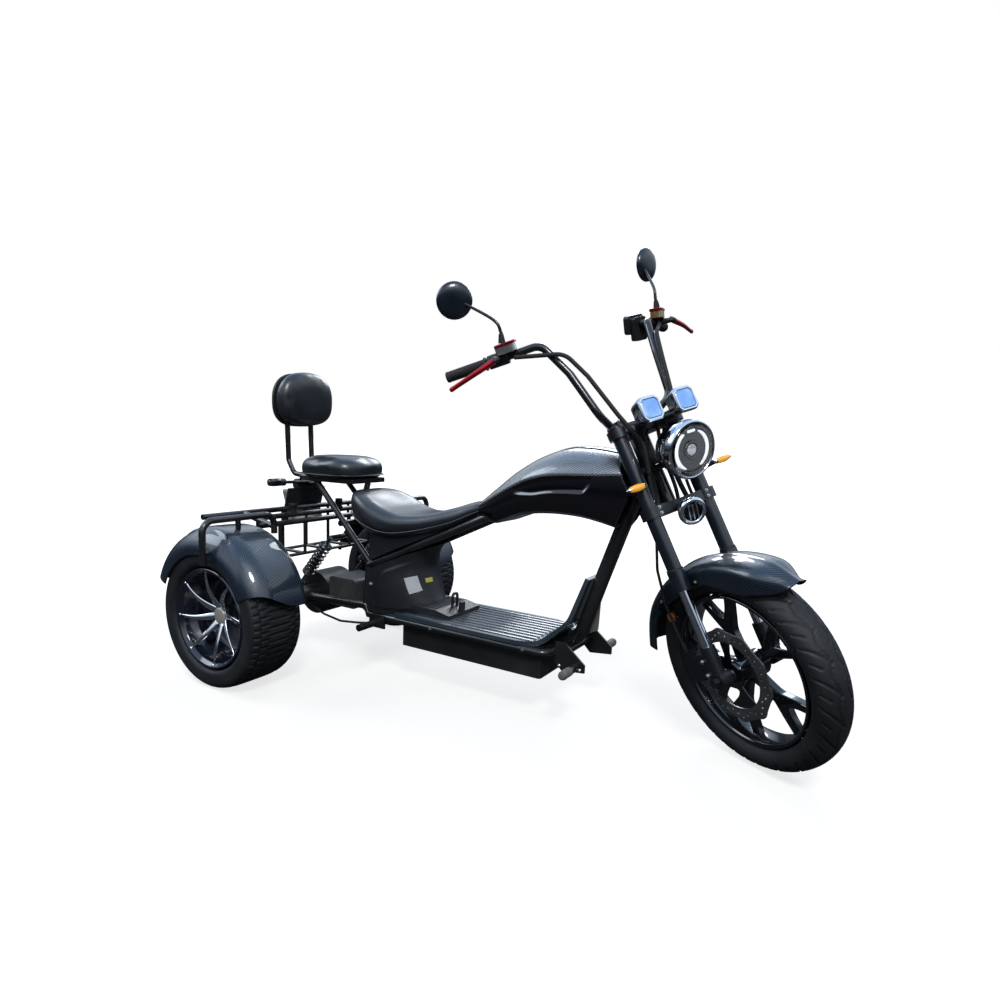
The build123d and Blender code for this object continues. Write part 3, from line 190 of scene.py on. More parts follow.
fed(life_group, end, {"Colour": dusted.outputs["Result"], "Normal": relief.outputs["Normal"],
    "Roughness": maths(life_group, "MULTIPLY_ADD", patch, given["Roughness Spread"], given["Roughness"])})


def finish(name, colour, dust, rough, spread=0.1, patch=(9, 0.5), grain=(400, 0.05), metal=0.0, coat=0.0,
        coat_rough=0.04, specular=0.5, more={}):
    """Material whose colour, roughness and fine relief come from the surface_life group."""
    material = bpy.data.materials.new(name)
    material.use_nodes = True
    tree = material.node_tree
    life = added(tree, "ShaderNodeGroup", {"Vector": added(tree, "ShaderNodeTexCoord").outputs["Object"],
        "Colour": (*colour, 1), "Dust": (*dust, 1), "Patch Scale": patch[0], "Patch Amount": patch[1],
        "Roughness": rough, "Roughness Spread": spread, "Grain Scale": grain[0], "Grain Height": grain[1]},
        node_tree=life_group, name="life").outputs
    fed(tree, tree.nodes["Principled BSDF"], {"Metallic": metal, "Coat Weight": coat, "Coat Roughness": coat_rough,
        "Specular IOR Level": specular, "Base Color": life["Colour"], "Roughness": life["Roughness"],
        "Normal": life["Normal"], **more})
    return material


def dress(material, *names):
    """Puts a material on CAD nodes that keep their own shape."""
    for name in names:
        mesh = frame["nodes"][name].data
        mesh.materials.clear()
        mesh.materials.append(material)


frame_enamel = finish("frame_enamel", (0.01, 0.011, 0.013), (0.035, 0.034, 0.033), 0.24, 0.22, (6, 0.35), (220, 0.08),
    coat=0.6)
dress(frame_enamel, "main_frame")

# Battery box: folded steel tray under the floor, powder coated a fine satin black.
# It carries patches of road dust.
box_powder = finish("box_powder", (0.012, 0.012, 0.013), (0.05, 0.047, 0.043), 0.42, 0.2, (5, 0.4), (900, 0.25))
dress(box_powder, "battery_box")
satin_plastic = finish("satin_plastic", (0.012, 0.014, 0.018), (0.04, 0.041, 0.043), 0.36, 0.18, (8, 0.3),
    (1500, 0.35))


# Floorboard: one moulded tray, glossy black coloured blue-grey as a painted sky reflection, with long raised ribs for
# the feet.
# The ribs are low rounded bars: eight ahead of the hatch and a longer one along each edge.
def piece(name, verts, faces, material, body, smooth=True):
    """A mesh piece in the row frame, riding on a body."""
    mesh = bpy.data.meshes.new(name)
    mesh.from_pydata([tuple(v) for v in verts], [], faces)
    mesh.validate()
    return dressed(name, mesh, material, body, smooth)


def dressed(name, mesh, material, body, smooth=True):
    """Object for a finished mesh, with its material and slot, riding on a body."""
    mesh.materials.clear()
    mesh.materials.append(material)
    if smooth:
        mesh.shade_smooth()
    else:
        mesh.shade_flat()
    made = linked(name, mesh)
    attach(made, body)
    return made


def outward(mesh, join=0.0):
    """Turns a closed mesh's faces to the outside, once points nearer than join are joined."""
    shape = bmesh.new()
    shape.from_mesh(mesh)
    if join:
        bmesh.ops.remove_doubles(shape, verts=shape.verts, dist=join)
    bmesh.ops.recalc_face_normals(shape, faces=shape.faces)
    shape.to_mesh(mesh)
    shape.free()


def ring_faces(around, across, closed=False):
    """Quads between rings of points, the rings joined up in a circle."""
    faces = []
    for i in range(around):
        j = (i + 1) % around
        for k in range(across if closed else across - 1):
            m = (k + 1) % across
            faces.append((i * across + k, i * across + m, j * across + m, j * across + k))
    return faces


def stack_faces(rows, around):
    """Quads between closed rings stacked in a row, with the two ends filled."""
    faces = [(i * around + k, i * around + (k + 1) % around, (i + 1) * around + (k + 1) % around,
        (i + 1) * around + k) for i in range(rows - 1) for k in range(around)]
    return faces + [tuple(range(around - 1, -1, -1)), tuple((rows - 1) * around + k for k in range(around))]


def spun(name, profile, steps, place, material, body, closed=True):
    """A profile of (radius, along the axle) turned about the local Y axis."""
    verts = []
    for i in range(steps):
        angle = tau * i / steps
        for radius, along in profile:
            verts.append(place @ Vector((radius * cos(angle), along, radius * sin(angle))))
    made = piece(name, verts, ring_faces(steps, len(profile), closed), material, body)
    clean(made.data)
    return made


def clean(mesh):
    """Joins points that fall together, such as a spun profile's poles, and turns faces outward."""
    outward(mesh, 1e-6)


def worked_out(source):
    """Plain mesh of an object with its curve or modifiers worked out."""
    bpy.context.view_layer.update()
    graph = bpy.context.evaluated_depsgraph_get()
    return bpy.data.meshes.new_from_object(source.evaluated_get(graph), depsgraph=graph)


def baked(source):
    """The same mesh, with the source removed."""
    mesh = worked_out(source)
    data = source.data
    bpy.data.objects.remove(source)
    if isinstance(data, bpy.types.Curve):
        bpy.data.curves.remove(data)
    return mesh


def flat_cut(name, outlines, thick, bevel, place, material, body, smooth=False):
    """A plate cut to outlines with holes: flat in local X and Y, thick in local Z, with rounded edges."""
    curve = bpy.data.curves.new(name, "CURVE")
    curve.dimensions = "2D"
    curve.fill_mode = "BOTH"
    curve.extrude = thick / 2 - bevel
    curve.bevel_depth = bevel
    curve.bevel_resolution = 2
    for outline in outlines:
        line = curve.splines.new("POLY")
        line.points.add(len(outline) - 1)
        for point, (x, y) in zip(line.points, outline):
            point.co = (x, y, 0, 1)
        line.use_cyclic_u = True
    mesh = baked(linked(name, curve))
    mesh.transform(place)
    clean(mesh)
    return dressed(name, mesh, material, body, smooth)


def tube(name, points, radius, material, body, smooth_run=True):
    """Round bar or wire along points in the row frame, with closed ends."""
    curve = bpy.data.curves.new(name, "CURVE")
    curve.dimensions = "3D"
    curve.bevel_depth = radius
    curve.bevel_resolution = 4
    curve.use_fill_caps = True
    line = curve.splines.new("NURBS" if smooth_run else "POLY")
    line.points.add(len(points) - 1)
    for point, co in zip(line.points, points):
        point.co = (*co, 1)
    line.order_u = min(4, len(points)) if smooth_run else 2
    line.use_endpoint_u = True
    curve.resolution_u = 10
    return dressed(name, baked(linked(name, curve)), material, body)


def circle(radius, steps, x=0.0, y=0.0):
    """Outline of a round hole or rim."""
    return [(x + radius * cos(tau * i / steps), y + radius * sin(tau * i / steps)) for i in range(steps)]


def rounded(points, radius, steps=5):
    """Outline with its corners rounded."""
    line = []
    count = len(points)
    for i in range(count):
        here, before, after = (Vector(points[j]) for j in (i, i - 1, (i + 1) % count))
        reach = min(radius, (before - here).length * 0.48, (after - here).length * 0.48)
        start, end = here + (before - here).normalized() * reach, here + (after - here).normalized() * reach
        for k in range(steps + 1):
            u = k / steps
            line.append(tuple(start * (1 - u) ** 2 + here * 2 * u * (1 - u) + end * u ** 2))
    return line


def between(table, value):
    """Smooth row of numbers read from a table at a value of its first column."""
    if value <= table[0][0]:
        return table[0][1:]
    for i in range(len(table) - 1):
        if value <= table[i + 1][0]:
            low, high = table[i], table[i + 1]
            before, after = table[max(0, i - 1)], table[min(len(table) - 1, i + 2)]
            span = high[0] - low[0]
            u = (value - low[0]) / span
            row = []
            for k in range(1, len(low)):
                rise_in = (high[k] - before[k]) / (high[0] - before[0]) * span
                rise_out = (after[k] - low[k]) / (after[0] - low[0]) * span
                row.append(low[k] * (2 * u ** 3 - 3 * u ** 2 + 1) + rise_in * (u ** 3 - 2 * u ** 2 + u)
                    + high[k] * (3 * u ** 2 - 2 * u ** 3) + rise_out * (u ** 3 - u ** 2))
            return row
    return table[-1][1:]


def ease(low, high, value):
    """0 below low, 1 above high, smooth between."""
    u = min(1, max(0, (value - low) / (high - low)))
    return u * u * (3 - 2 * u)


def bolt(name, place, radius, height, material, body, sides=6):
    """Bolt with a washer and a head of so many sides, standing along local Z."""
    verts, flat = [], pi / sides
    # share of the radius, share of the height, on the head
    for share, level, head in ((1.45, 0.0, False), (1.45, 0.22, False), (1.05, 0.24, False), (1.0, 0.24, True),
            (1.0, 0.86, True), (0.86, 1.0, True)):
        for i in range(24):
            turn = tau * i / 24
            reach = radius * share
            if head and sides < 12:
                reach *= cos(flat) / cos((turn % (2 * flat)) - flat)
            verts.append(place @ Vector((reach * cos(turn), reach * sin(turn), height * level)))
    made = piece(name, verts, stack_faces(6, 24), material, body, smooth=False)
    clean(made.data)
    return made


def grown_end(tree, shape, given, end):
    """Makes copies real and gives them the tree's material."""
    real = added(tree, "GeometryNodeRealizeInstances", {0: shape.outputs[0]}).outputs[0]
    coloured = added(tree, "GeometryNodeSetMaterial", {"Geometry": real, "Material": given["Material"]})
    fed(tree, end, {0: coloured.outputs[0]})


# One node tree sets copies in a row: each copy is moved by Step once more.
copies, given, end = group("row_of_copies", "GeometryNodeTree", {"Unit": "Geometry", "Count": "Int", "Step": "Vector",
    "Material": "Material"}, {"Copies": "Geometry"})
row_points = added(copies, "GeometryNodeMeshLine", {"Count": given["Count"], "Offset": given["Step"]}).outputs[0]
grown_end(copies, added(copies, "GeometryNodeInstanceOnPoints", {"Points": row_points, "Instance": given["Unit"]}),
    given, end)

# A second tree winds a wire into a coil spring.
coil, given, end = group("coil_spring", "GeometryNodeTree", {"Unit": "Geometry", "Turns": "Float", "Radius": "Float",
    "Height": "Float", "Wire": "Float", "Material": "Material"}, {"Spring": "Geometry"})
spiral = added(coil, "GeometryNodeCurveSpiral", {"Resolution": 32, "Rotations": given["Turns"],
    "Start Radius": given["Radius"], "End Radius": given["Radius"], "Height": given["Height"]})
wire_ring = added(coil, "GeometryNodeCurvePrimitiveCircle", {"Resolution": 12, "Radius": given["Wire"]})
grown_end(coil, added(coil, "GeometryNodeCurveToMesh", {"Curve": spiral.outputs[0],
    "Profile Curve": wire_ring.outputs[0], "Fill Caps": True}), given, end)


def grown(name, tree, unit, values, place, material, body, smooth=True):
    """Mesh grown by a node tree from a unit of (points, faces), with the tree's inputs given by name."""
    mesh = bpy.data.meshes.new(name)
    mesh.from_pydata([tuple(v) for v in unit[0]], [], unit[1])
    holder = linked(name, mesh)
    growth = holder.modifiers.new("growth", "NODES")
    growth.node_group = tree
    for item in tree.interface.items_tree:
        if item.item_type == "SOCKET" and item.in_out == "INPUT" and item.name != "Unit":
            growth[item.identifier] = material if item.name == "Material" else values[item.name]
    holder.update_tag()
    mesh = baked(holder)
    mesh.transform(place)
    mesh.materials.clear()
    made = dressed(name, mesh, material, body, smooth)
    clean(made.data)
    return made


def rib(length, half, tall, corner):
    """Unit of a low rounded rib that runs along X with sloping ends, in metres."""
    verts = []
    for x in (0, corner, length - corner, length):
        lift_all = 0.1 if x in (0, length) else 1
        for share, lift in ((-1, 0.02), (-0.84, 0.86), (0, 1), (0.84, 0.86), (1, 0.02), (0, -0.2)):
            verts.append((x, half * share, tall * lift * (lift_all if lift > 0 else 1)))
    return verts, stack_faces(4, 6)


def rotated(amount, axis):
    """Turn by so many degrees about an axis."""
    return Matrix.Rotation(radians(amount), 4, axis)


def set_at(x, y, z):
    """Frame at a point given as for at()."""
    return Matrix.Translation(at(x, y, z))


FLOOR_TOP = 252
FLOOR_BACK, FLOOR_NOSE = 482, 978
# Painted reflection: the black plastic and its dust are coloured blue-grey for the sky that the gloss reflects.
floor_plastic_painted_sky = finish("floor_plastic_painted_sky", (0.034, 0.052, 0.072), (0.08, 0.095, 0.11), 0.3, 0.12, (8, 0.5), (600, 0.1),
    coat=1.0, coat_rough=0.14)
# columns: first rib across, how many, where they begin
for number, (first, count, start) in enumerate(((-91, 8, 658), (-119, 1, FLOOR_BACK), (117, 1, FLOOR_BACK))):
    grown("floor_ribs_%d" % number, copies, rib((FLOOR_NOSE - start) / 1000, 0.0106, 0.0024, 0.0035),
        {"Count": count, "Step": (0.0, 0.026, 0.0)}, set_at(start, first, FLOOR_TOP), floor_plastic_painted_sky,
        "chassis")
dress(floor_plastic_painted_sky, "floorboard")

# Battery hatch: satin moulded lid at the back of the floor with its own ribs, a round lock
# in a raised seat and a looped pull of black wire.
dress(satin_plastic, "battery_hatch")
grown("hatch_ribs", copies, rib(0.072, 0.0036, 0.0024, 0.004), {"Count": 11, "Step": (0.0, 0.015, 0.0)},
    set_at(520, -75, 276), satin_plastic, "chassis")

# Body cover: moulded satin panel that narrows from the battery bay to a waist and flares up under the rails.
# A raised side panel is set off by a soft step, and one bright bolt holds its back edge.
# columns: height, foremost point
COVER_FRONT = [(238, 560), (276, 550), (300, 536), (330, 522), (370, 507), (405, 500), (440, 508), (470, 530),
    (500, 575), (530, 622)]
# columns: distance ahead of the rear axle, half width
COVER_PLAN = [(325, 138), (345, 146), (400, 146), (450, 121), (505, 86), (560, 54), (622, 42)]
COVER_BACK, COVER_FOOT = 325, 240
RAIL_BACK_Z, RAIL_SLOPE = 391, 206 / 445


def cover_point(s, v):
    """Point on the cover: s runs from back right round the nose to back left, v from bottom to top."""
    run = 1 - s * s
    x = 400.0
    for step in range(6):
        top = RAIL_BACK_Z + RAIL_SLOPE * (x - 300) - 20
        z = COVER_FOOT + v * (top - COVER_FOOT)
        x = COVER_BACK + (between(COVER_FRONT, z)[0] - COVER_BACK) * run
    half = between(COVER_PLAN, x)[0] * (1 - run ** 9) ** 0.5
    half *= 1 - 0.08 * exp(-((z - 400) / 60) ** 2) * ease(380, 470, x)
    panel = (ease(352, 364, x - 0.3 * (z - COVER_FOOT)) * ease(254, 264, z) * ease(22, 36, top - z)
        * ease(0.97, 0.9, run))
    half += 3.5 * panel
    return x, copysign(half, s), z


AROUND, TALL = 180, 72
verts = [at(*cover_point(2 * i / AROUND - 1, j / TALL)) for j in range(TALL + 1) for i in range(AROUND + 1)]
cover_shell = piece("cover_shell", verts, stack_faces(TALL + 1, AROUND + 1), satin_plastic, "chassis")
clean(cover_shell.data)
cover_shell.data.set_sharp_from_angle(angle=radians(40))
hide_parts("body_cover")
bright_zinc = finish("bright_zinc", (0.55, 0.55, 0.56), (0.35, 0.34, 0.32), 0.3, 0.2, (60, 0.5), (900, 0.2),
    metal=1.0)
label_white = finish("label_white", (0.62, 0.66, 0.72), (0.5, 0.54, 0.6), 0.45, 0.1, (40, 0.5), (300, 0.05))
label_yellow = finish("label_yellow", (0.62, 0.6, 0.1), (0.5, 0.48, 0.12), 0.45, 0.1, (40, 0.5), (300, 0.05))


def label(name, corners, material):
    """Blank stuck label that follows the cover, from its corners as (s, v) on the cover."""
    spots, verts = [], []
    for j in range(9):
        for i in range(9):
            u, w = i / 8, j / 8
            s, v = ((corners[0][k] * (1 - u) + corners[1][k] * u) * (1 - w)
                + (corners[3][k] * (1 - u) + corners[2][k] * u) * w for k in (0, 1))
            here, ahead, up = (Vector(cover_point(*q)) for q in ((s, v), (s + 0.01, v), (s, v + 0.01)))
            spots.append((here, (up - here).cross(ahead - here).normalized()))
    for lift in (0.5, -1.0):
        verts += [at(*(here + lift * out)) for here, out in spots]
    faces = [(j * 9 + i, j * 9 + i + 1, j * 9 + i + 10, j * 9 + i + 9) for j in range(8) for i in range(8)]
    faces += [tuple(81 + v for v in reversed(face)) for face in faces]
    edge = list(range(9)) + [9 * j + 8 for j in range(1, 9)] + [72 + i for i in range(7, -1, -1)]
    edge += [9 * j for j in range(7, 0, -1)]
    faces += [(edge[k], edge[k - 1], 81 + edge[k - 1], 81 + edge[k]) for k in range(len(edge))]
    made = piece(name, verts, faces, material, "chassis")
    clean(made.data)
    made.data.set_sharp_from_angle(angle=radians(40))


label("blank_label_white", [(-0.492, 0.62), (-0.281, 0.615), (-0.267, 0.37), (-0.478, 0.341)], label_white)
label("blank_label_yellow", [(-0.169, 0.544), (-0.02, 0.537), (-0.025, 0.469), (-0.171, 0.474)], label_yellow)
bolt("cover_bolt", set_at(*cover_point(-0.93, 0.634)) @ rotated(90, "X"), 0.0055, 0.006, bright_zinc,
    "chassis", 24)

# Saddle: dished rider's seat under one smooth black cover, its rim standing up round the back
# and running down into a narrow nose. The cover is stretched tight, with a seam low round the side.
seat_skin = finish("seat_skin", (0.012, 0.015, 0.02), (0.03, 0.034, 0.04), 0.32, 0.12, (10, 0.35), (420, 0.35),
    coat=0.5, coat_rough=0.24, specular=0.6)


def swell(soft, voxel, pressure, cap):
    """Cushion blown up under its cover: voxel remesh, cloth pressure, movement capped, one subdivision."""
    remesh = soft.modifiers.new("remesh", "REMESH")
    remesh.mode = "VOXEL"
    remesh.voxel_size = voxel
    mesh = worked_out(soft)
    soft.modifiers.clear()
    soft.data = mesh
    cloth = soft.modifiers.new("cloth", "CLOTH")
    cloth.settings.use_pressure = True
    cloth.settings.uniform_pressure_force = pressure
    cloth.settings.effector_weights.gravity = 0
    cloth.settings.quality = 4
    cloth.point_cache.frame_end = 20
    start = [v.co.copy() for v in mesh.vertices]
    scene = bpy.context.scene
    for frame_number in range(1, 21):
        scene.frame_set(frame_number)
    graph = bpy.context.evaluated_depsgraph_get()
    moved = soft.evaluated_get(graph).to_mesh()
    ends = [v.co.copy() for v in moved.vertices]
    soft.evaluated_get(graph).to_mesh_clear()
    soft.modifiers.clear()
    scene.frame_set(1)
    for vertex, before, after in zip(mesh.vertices, start, ends):
        step = after - before
        vertex.co = before + step * min(1, cap / max(step.length, 1e-9))
    calm = soft.modifiers.new("calm", "SMOOTH")
    calm.factor = 0.5
    calm.iterations = 24
    smooth = soft.modifiers.new("smooth", "SUBSURF")
    smooth.levels = 1
    smooth.render_levels = 1
    mesh = worked_out(soft)
    soft.modifiers.clear()
    soft.data = mesh
    mesh.shade_smooth()


# columns: distance ahead of the rear axle, half width, bottom, rim height, how far the middle is sunk
SADDLE = [(202, 44, 584, 648, 2), (210, 84, 562, 665, 8), (230, 117, 539, 675, 24), (268, 141, 516, 674, 38),
    (310, 153, 500, 656, 40), (360, 154, 491, 627, 30), (400, 152, 491, 608, 19), (440, 147, 496, 597, 13),
    (500, 134, 511, 595, 7), (560, 120, 529, 602, 2), (640, 95, 557, 622, -2), (700, 74, 590, 644, -3),
    (738, 57, 611, 655, -3), (748, 40, 620, 650, -1)]


def saddle_point(x, turn):
    """Point round a saddle section: turn 0 is the right edge, a quarter turn the top."""
    half, low, rim, sunk = between(SADDLE, x)
    side, up = cos(turn), sin(turn)
    y = half * copysign(abs(side) ** 0.62, side)
    middle = low + (rim - low) * 0.52
    if up >= 0:
        z = middle + (rim - middle) * up ** 0.72
        z -= sunk * max(0, 1 - abs(y / half) ** 2.4) ** 1.2
    else:
        z = middle - (middle - low) * abs(up) ** 0.8
        y *= 1 - 0.09 * abs(up) ** 1.5
    return y, z


LONG, ROUND = 96, 72
verts = []
for i in range(LONG + 1):
    x = SADDLE[0][0] + (SADDLE[-1][0] - SADDLE[0][0]) * (1 - cos(pi * i / LONG)) / 2
    for k in range(ROUND):
        y, z = saddle_point(x, tau * k / ROUND)
        verts.append(at(x, -y, z))
rider_saddle = piece("rider_saddle", verts, stack_faces(LONG + 1, ROUND), seat_skin, "chassis")
clean(rider_saddle.data)
swell(rider_saddle, 0.005, 2.0, 0.003)
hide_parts("saddle")
SIDES = (("left", 1), ("right", -1))
seam = []
for i in range(60):
    x = 226 + (730 - 226) * i / 59
    half, low, rim, sunk = between(SADDLE, x)
    seam.append((x, half * 0.985 + 1.5, low + (rim - low) * 0.3))
for name, side in SIDES:
    tube("saddle_welt_" + name, [at(x, side * y, z) for x, y, z in seam], 0.0022, seat_skin, "chassis")

# Pillion pad: flat rounded cushion on its plate, crowned a little, with a welt round its lower edge.
# The cover is the same black skin as the saddle's.
# columns: height, growth of the outline, for a pad seen from the side
PILLION = [(688, -4), (690, 2), (700, 7), (716, 8), (733, 6), (747, -2), (757, -15), (762, -34), (764, -58),
    (764.5, -100)]


def pad_outline(grow, steps=96):
    """Rounded rectangle in plan, grown or shrunk."""
    back, front, half, corner = -52, 205, 120, 60
    ring = []
    x_half, y_half = (front - back) / 2 + grow, half + grow
    power = 2.0 + 2.6 * max(0.0, 1 - corner / y_half)
    for k in range(steps):
        turn = tau * k / steps
        c, s = cos(turn), sin(turn)
        ring.append(((back + front) / 2 + x_half * copysign(abs(c) ** (2 / power), c),
            y_half * copysign(abs(s) ** (2 / power), s)))
    return ring


verts = []
for z, grow in PILLION:
    verts += [at(x, y, z) for x, y in pad_outline(grow)]
pillion_cushion = piece("pillion_cushion", verts, stack_faces(len(PILLION), 96), seat_skin, "chassis")
clean(pillion_cushion.data)
swell(pillion_cushion, 0.005, 3.0, 0.004)
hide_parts("pillion_pad")
welt_ring = [at(x, y, 700) for x, y in pad_outline(8.5)]
tube("pillion_welt", welt_ring + welt_ring[:1], 0.002, seat_skin, "chassis", smooth_run=False)

# Backrest: a thin moulded shell with a domed pad in front, fuller at the bottom than at the top,
# with an open V between the two along their upper edge.
BACK_X, BACK_Z, BACK_HALF, BACK_TALL = -174, 970, 132, 102


def rest_outline(scale, drop=0.0, steps=96):
    """Outline of the backrest in (y, z): a flat arch on a rounded lower edge."""
    ring = []
    for k in range(steps):
        turn = tau * k / steps
        c, s = cos(turn), sin(turn)
        power = 0.78 if s > 0 else 0.66
        wide = 1 - 0.05 * max(0, s)
        ring.append((BACK_HALF * wide * copysign(abs(c) ** power, c) * scale,
            BACK_Z + drop + BACK_TALL * copysign(abs(s) ** power, s) * scale))
    return ring


# columns: distance ahead of the shell's back, scale of the outline
REST_PAD = [(25, 0.8), (27, 0.93), (32, 0.985), (44, 1.0), (62, 0.99), (76, 0.94), (85, 0.85), (90, 0.71), (93, 0.5),
    (94, 0.25)]
verts = []
for ahead, scale in REST_PAD:
    for y, z in rest_outline(scale, 6):
        lean = 18 * ease(BACK_Z, BACK_Z + BACK_TALL, z) * ease(64, 34, ahead)
        verts.append(at(BACK_X + ahead + lean, y, z))
rest_pad = piece("backrest_cushion", verts, stack_faces(len(REST_PAD), 96), seat_skin, "chassis")
clean(rest_pad.data)
swell(rest_pad, 0.005, 3.0, 0.003)
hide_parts("backrest_pad")
REST_SHELL = [(0, 0.3), (0.5, 0.7), (3, 0.86), (9, 0.95), (17, 0.99), (22, 0.985), (23.5, 0.96), (23.5, 0.6)]
verts = []
for ahead, scale in REST_SHELL:
    verts += [at(BACK_X + ahead, y, z) for y, z in rest_outline(scale)]
rest_shell = piece("backrest_back", verts, stack_faces(len(REST_SHELL), 96), satin_plastic, "chassis")
clean(rest_shell.data)
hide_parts("backrest_shell")
dress(satin_plastic, "seat_pan")

# Tank cover: two moulded halves. The upper one carries a silver woven film under clear lacquer,
# with a black-edged raised strip along its crest, and hangs over the glossy black lower half.
weave, given, end = group("weave", "ShaderNodeTree", {"Vector": "Vector", "Thread": "Float", "Over": "Color",
    "Under": "Color"}, {"Colour": "Color", "Height": "Float"})
threads = added(weave, "ShaderNodeSeparateXYZ", {0: given["Vector"]}).outputs
along, across = (maths(weave, "DIVIDE", threads[axis], given["Thread"]) for axis in "XY")
cell = maths(weave, "ADD", maths(weave, "FLOOR", along), maths(weave, "FLOOR", across))
over = maths(weave, "LESS_THAN", maths(weave, "FLOORED_MODULO", cell, 4), 1.5)
bulge = added(weave, "ShaderNodeMix", {0: over, 2: maths(weave, "PINGPONG", along, 0.5),
    3: maths(weave, "PINGPONG", across, 0.5)}).outputs[0]
height = maths(weave, "POWER", maths(weave, "MULTIPLY", bulge, 2), 0.5)
# Over and under threads differ in colour, partly the weave's own pattern and partly a painted sheen that catches them
# differently.
weave_and_sheen = added(weave, "ShaderNodeMix", {"Factor": over, "A": given["Under"], "B": given["Over"]}, data_type="RGBA")
# Painted shade: each thread is darkened towards its edges by its bulge.
shaded = added(weave, "ShaderNodeMix", {"Factor": 0.55, "A": weave_and_sheen.outputs["Result"], "B": height}, data_type="RGBA",
    blend_type="MULTIPLY")
fed(weave, end, {"Colour": shaded.outputs["Result"], "Height": height})


def woven(name, over_colour, under_colour, thread, metal, rough):
    """Woven film under lacquer: thread colours with painted sheen and edge shade from the weave group, in metres on
    the piece's UV map.
    """
    material = finish(name, over_colour, under_colour, rough, 0.1, (7, 0.3), (300, 0.03), metal=metal, coat=1.0,
        coat_rough=0.03)
    tree = material.node_tree
    cloth = added(tree, "ShaderNodeGroup", {"Vector": added(tree, "ShaderNodeUVMap", uv_map="metres").outputs[0],
        "Thread": thread, "Under": (*under_colour, 1), "Over": tree.nodes["life"].outputs["Colour"]},
        node_tree=weave).outputs
    relief = added(tree, "ShaderNodeBump", {"Strength": 0.25, "Distance": 0.0006, "Height": cloth["Height"]})
    fed(tree, tree.nodes["Principled BSDF"], {"Base Color": cloth["Colour"], "Normal": relief.outputs["Normal"]})
    return material


def skin(name, outer, inner, body, materials, chart=None, kind=None):
    """Closed shell from two grids of points; kind(row, column) picks the outer material."""
    rows, columns = len(outer), len(outer[0])
    verts = [p for row in outer for p in row] + [p for row in inner for p in row]
    base = rows * columns
    faces, kinds = [], []
    for i in range(rows - 1):
        for k in range(columns - 1):
            a = i * columns + k
            faces.append((a, a + 1, a + columns + 1, a + columns))
            kinds.append(kind(i, k) if kind else 0)
            faces.append((base + a, base + a + columns, base + a + columns + 1, base + a + 1))
            kinds.append(len(materials) - 1)
    edge = [(0, k) for k in range(columns)] + [(i, columns - 1) for i in range(1, rows)]
    edge += [(rows - 1, k) for k in range(columns - 2, -1, -1)] + [(i, 0) for i in range(rows - 2, 0, -1)]
    for (i, k), (m, n) in zip(edge, edge[1:] + edge[:1]):
        faces.append((i * columns + k, m * columns + n, base + m * columns + n, base + i * columns + k))
        kinds.append(len(materials) - 1)
    mesh = bpy.data.meshes.new(name)
    mesh.from_pydata([tuple(v) for v in verts], [], faces)
    made = dressed(name, mesh, materials[0], body)
    for material in materials[1:]:
        mesh.materials.append(material)
    mesh.polygons.foreach_set("material_index", kinds)
    if chart:
        layer = mesh.uv_layers.new(name="metres")
        flat = [uv for row in chart for uv in row]
        for loop in mesh.loops:
            layer.data[loop.index].uv = flat[loop.vertex_index % base]
    outward(mesh)
    mesh.set_sharp_from_angle(angle=radians(50))
    return made


# columns: distance ahead of the rear axle, seam half width, seam height, crest, lower edge
TANK = [(737, 74, 640, 660, 600), (775, 80, 662, 694, 592), (794, 83, 673, 710, 589), (840, 92, 699, 748, 606),
    (886, 102, 722, 779, 625), (930, 111, 740, 802, 634), (986, 119, 754, 824, 641), (1040, 122, 760, 837, 643),
    (1100, 121, 763, 838, 640), (1150, 116, 765, 833, 631), (1193, 108, 768, 825, 620), (1240, 96, 772, 811, 606)]
tank_black = finish("tank_black", (0.002, 0.002, 0.004), (0.012, 0.012, 0.014), 0.12, 0.14, (5, 0.25), (260, 0.03),
    coat=0.8)
film_silver = woven("film_silver", (0.4, 0.44, 0.48), (0.1, 0.11, 0.125), 0.0021, 0.45, 0.26)
# Painted highlight: the crest strip's film is paler than the rest, for the sky reflected along the top of the tank.
strip_silver_painted_highlight = woven("strip_silver_painted_highlight", (0.55, 0.6, 0.65), (0.22, 0.24, 0.27), 0.0021, 0.45, 0.22)
inside_black = finish("inside_black", (0.008, 0.008, 0.009), (0.02, 0.02, 0.02), 0.6, 0.1, (9, 0.3), (500, 0.2))
TANK_BACK, TANK_END = 737, 1232


def tank_row(x):
    """Upper half's points across the tank, from the crest to the seam."""
    half, seam, crest, low = between(TANK, x)
    strip = 4 + 32 * ease(760, 1060, x)
    edge = strip + 2 + 8 * ease(760, 1000, x)
    ys = [strip * k / 6 for k in range(7)] + [strip + 1.2, edge - 1.2, edge]
    turn_from = asin(min(1, edge / (half + 3)))
    ys += [(half + 3) * sin(turn_from + (pi / 2 - turn_from) * k / 20) for k in range(1, 21)]
    row = []
    for y in ys:
        u = min(1, y / (half + 3))
        z = seam + 2 + (crest - seam - 2) * max(0, 1 - u ** 2.3) ** 0.72
        raised = 2.4 * ease(strip + 1.5, strip, y) - 1.2 * ease(strip, strip + 1.2, y) * ease(edge, edge - 1.2, y)
        row.append((y, z + raised * ease(770, 840, x)))
    row.append((half + 2.2, seam - 3))
    row.append((half - 1, seam - 4.5))
    return row


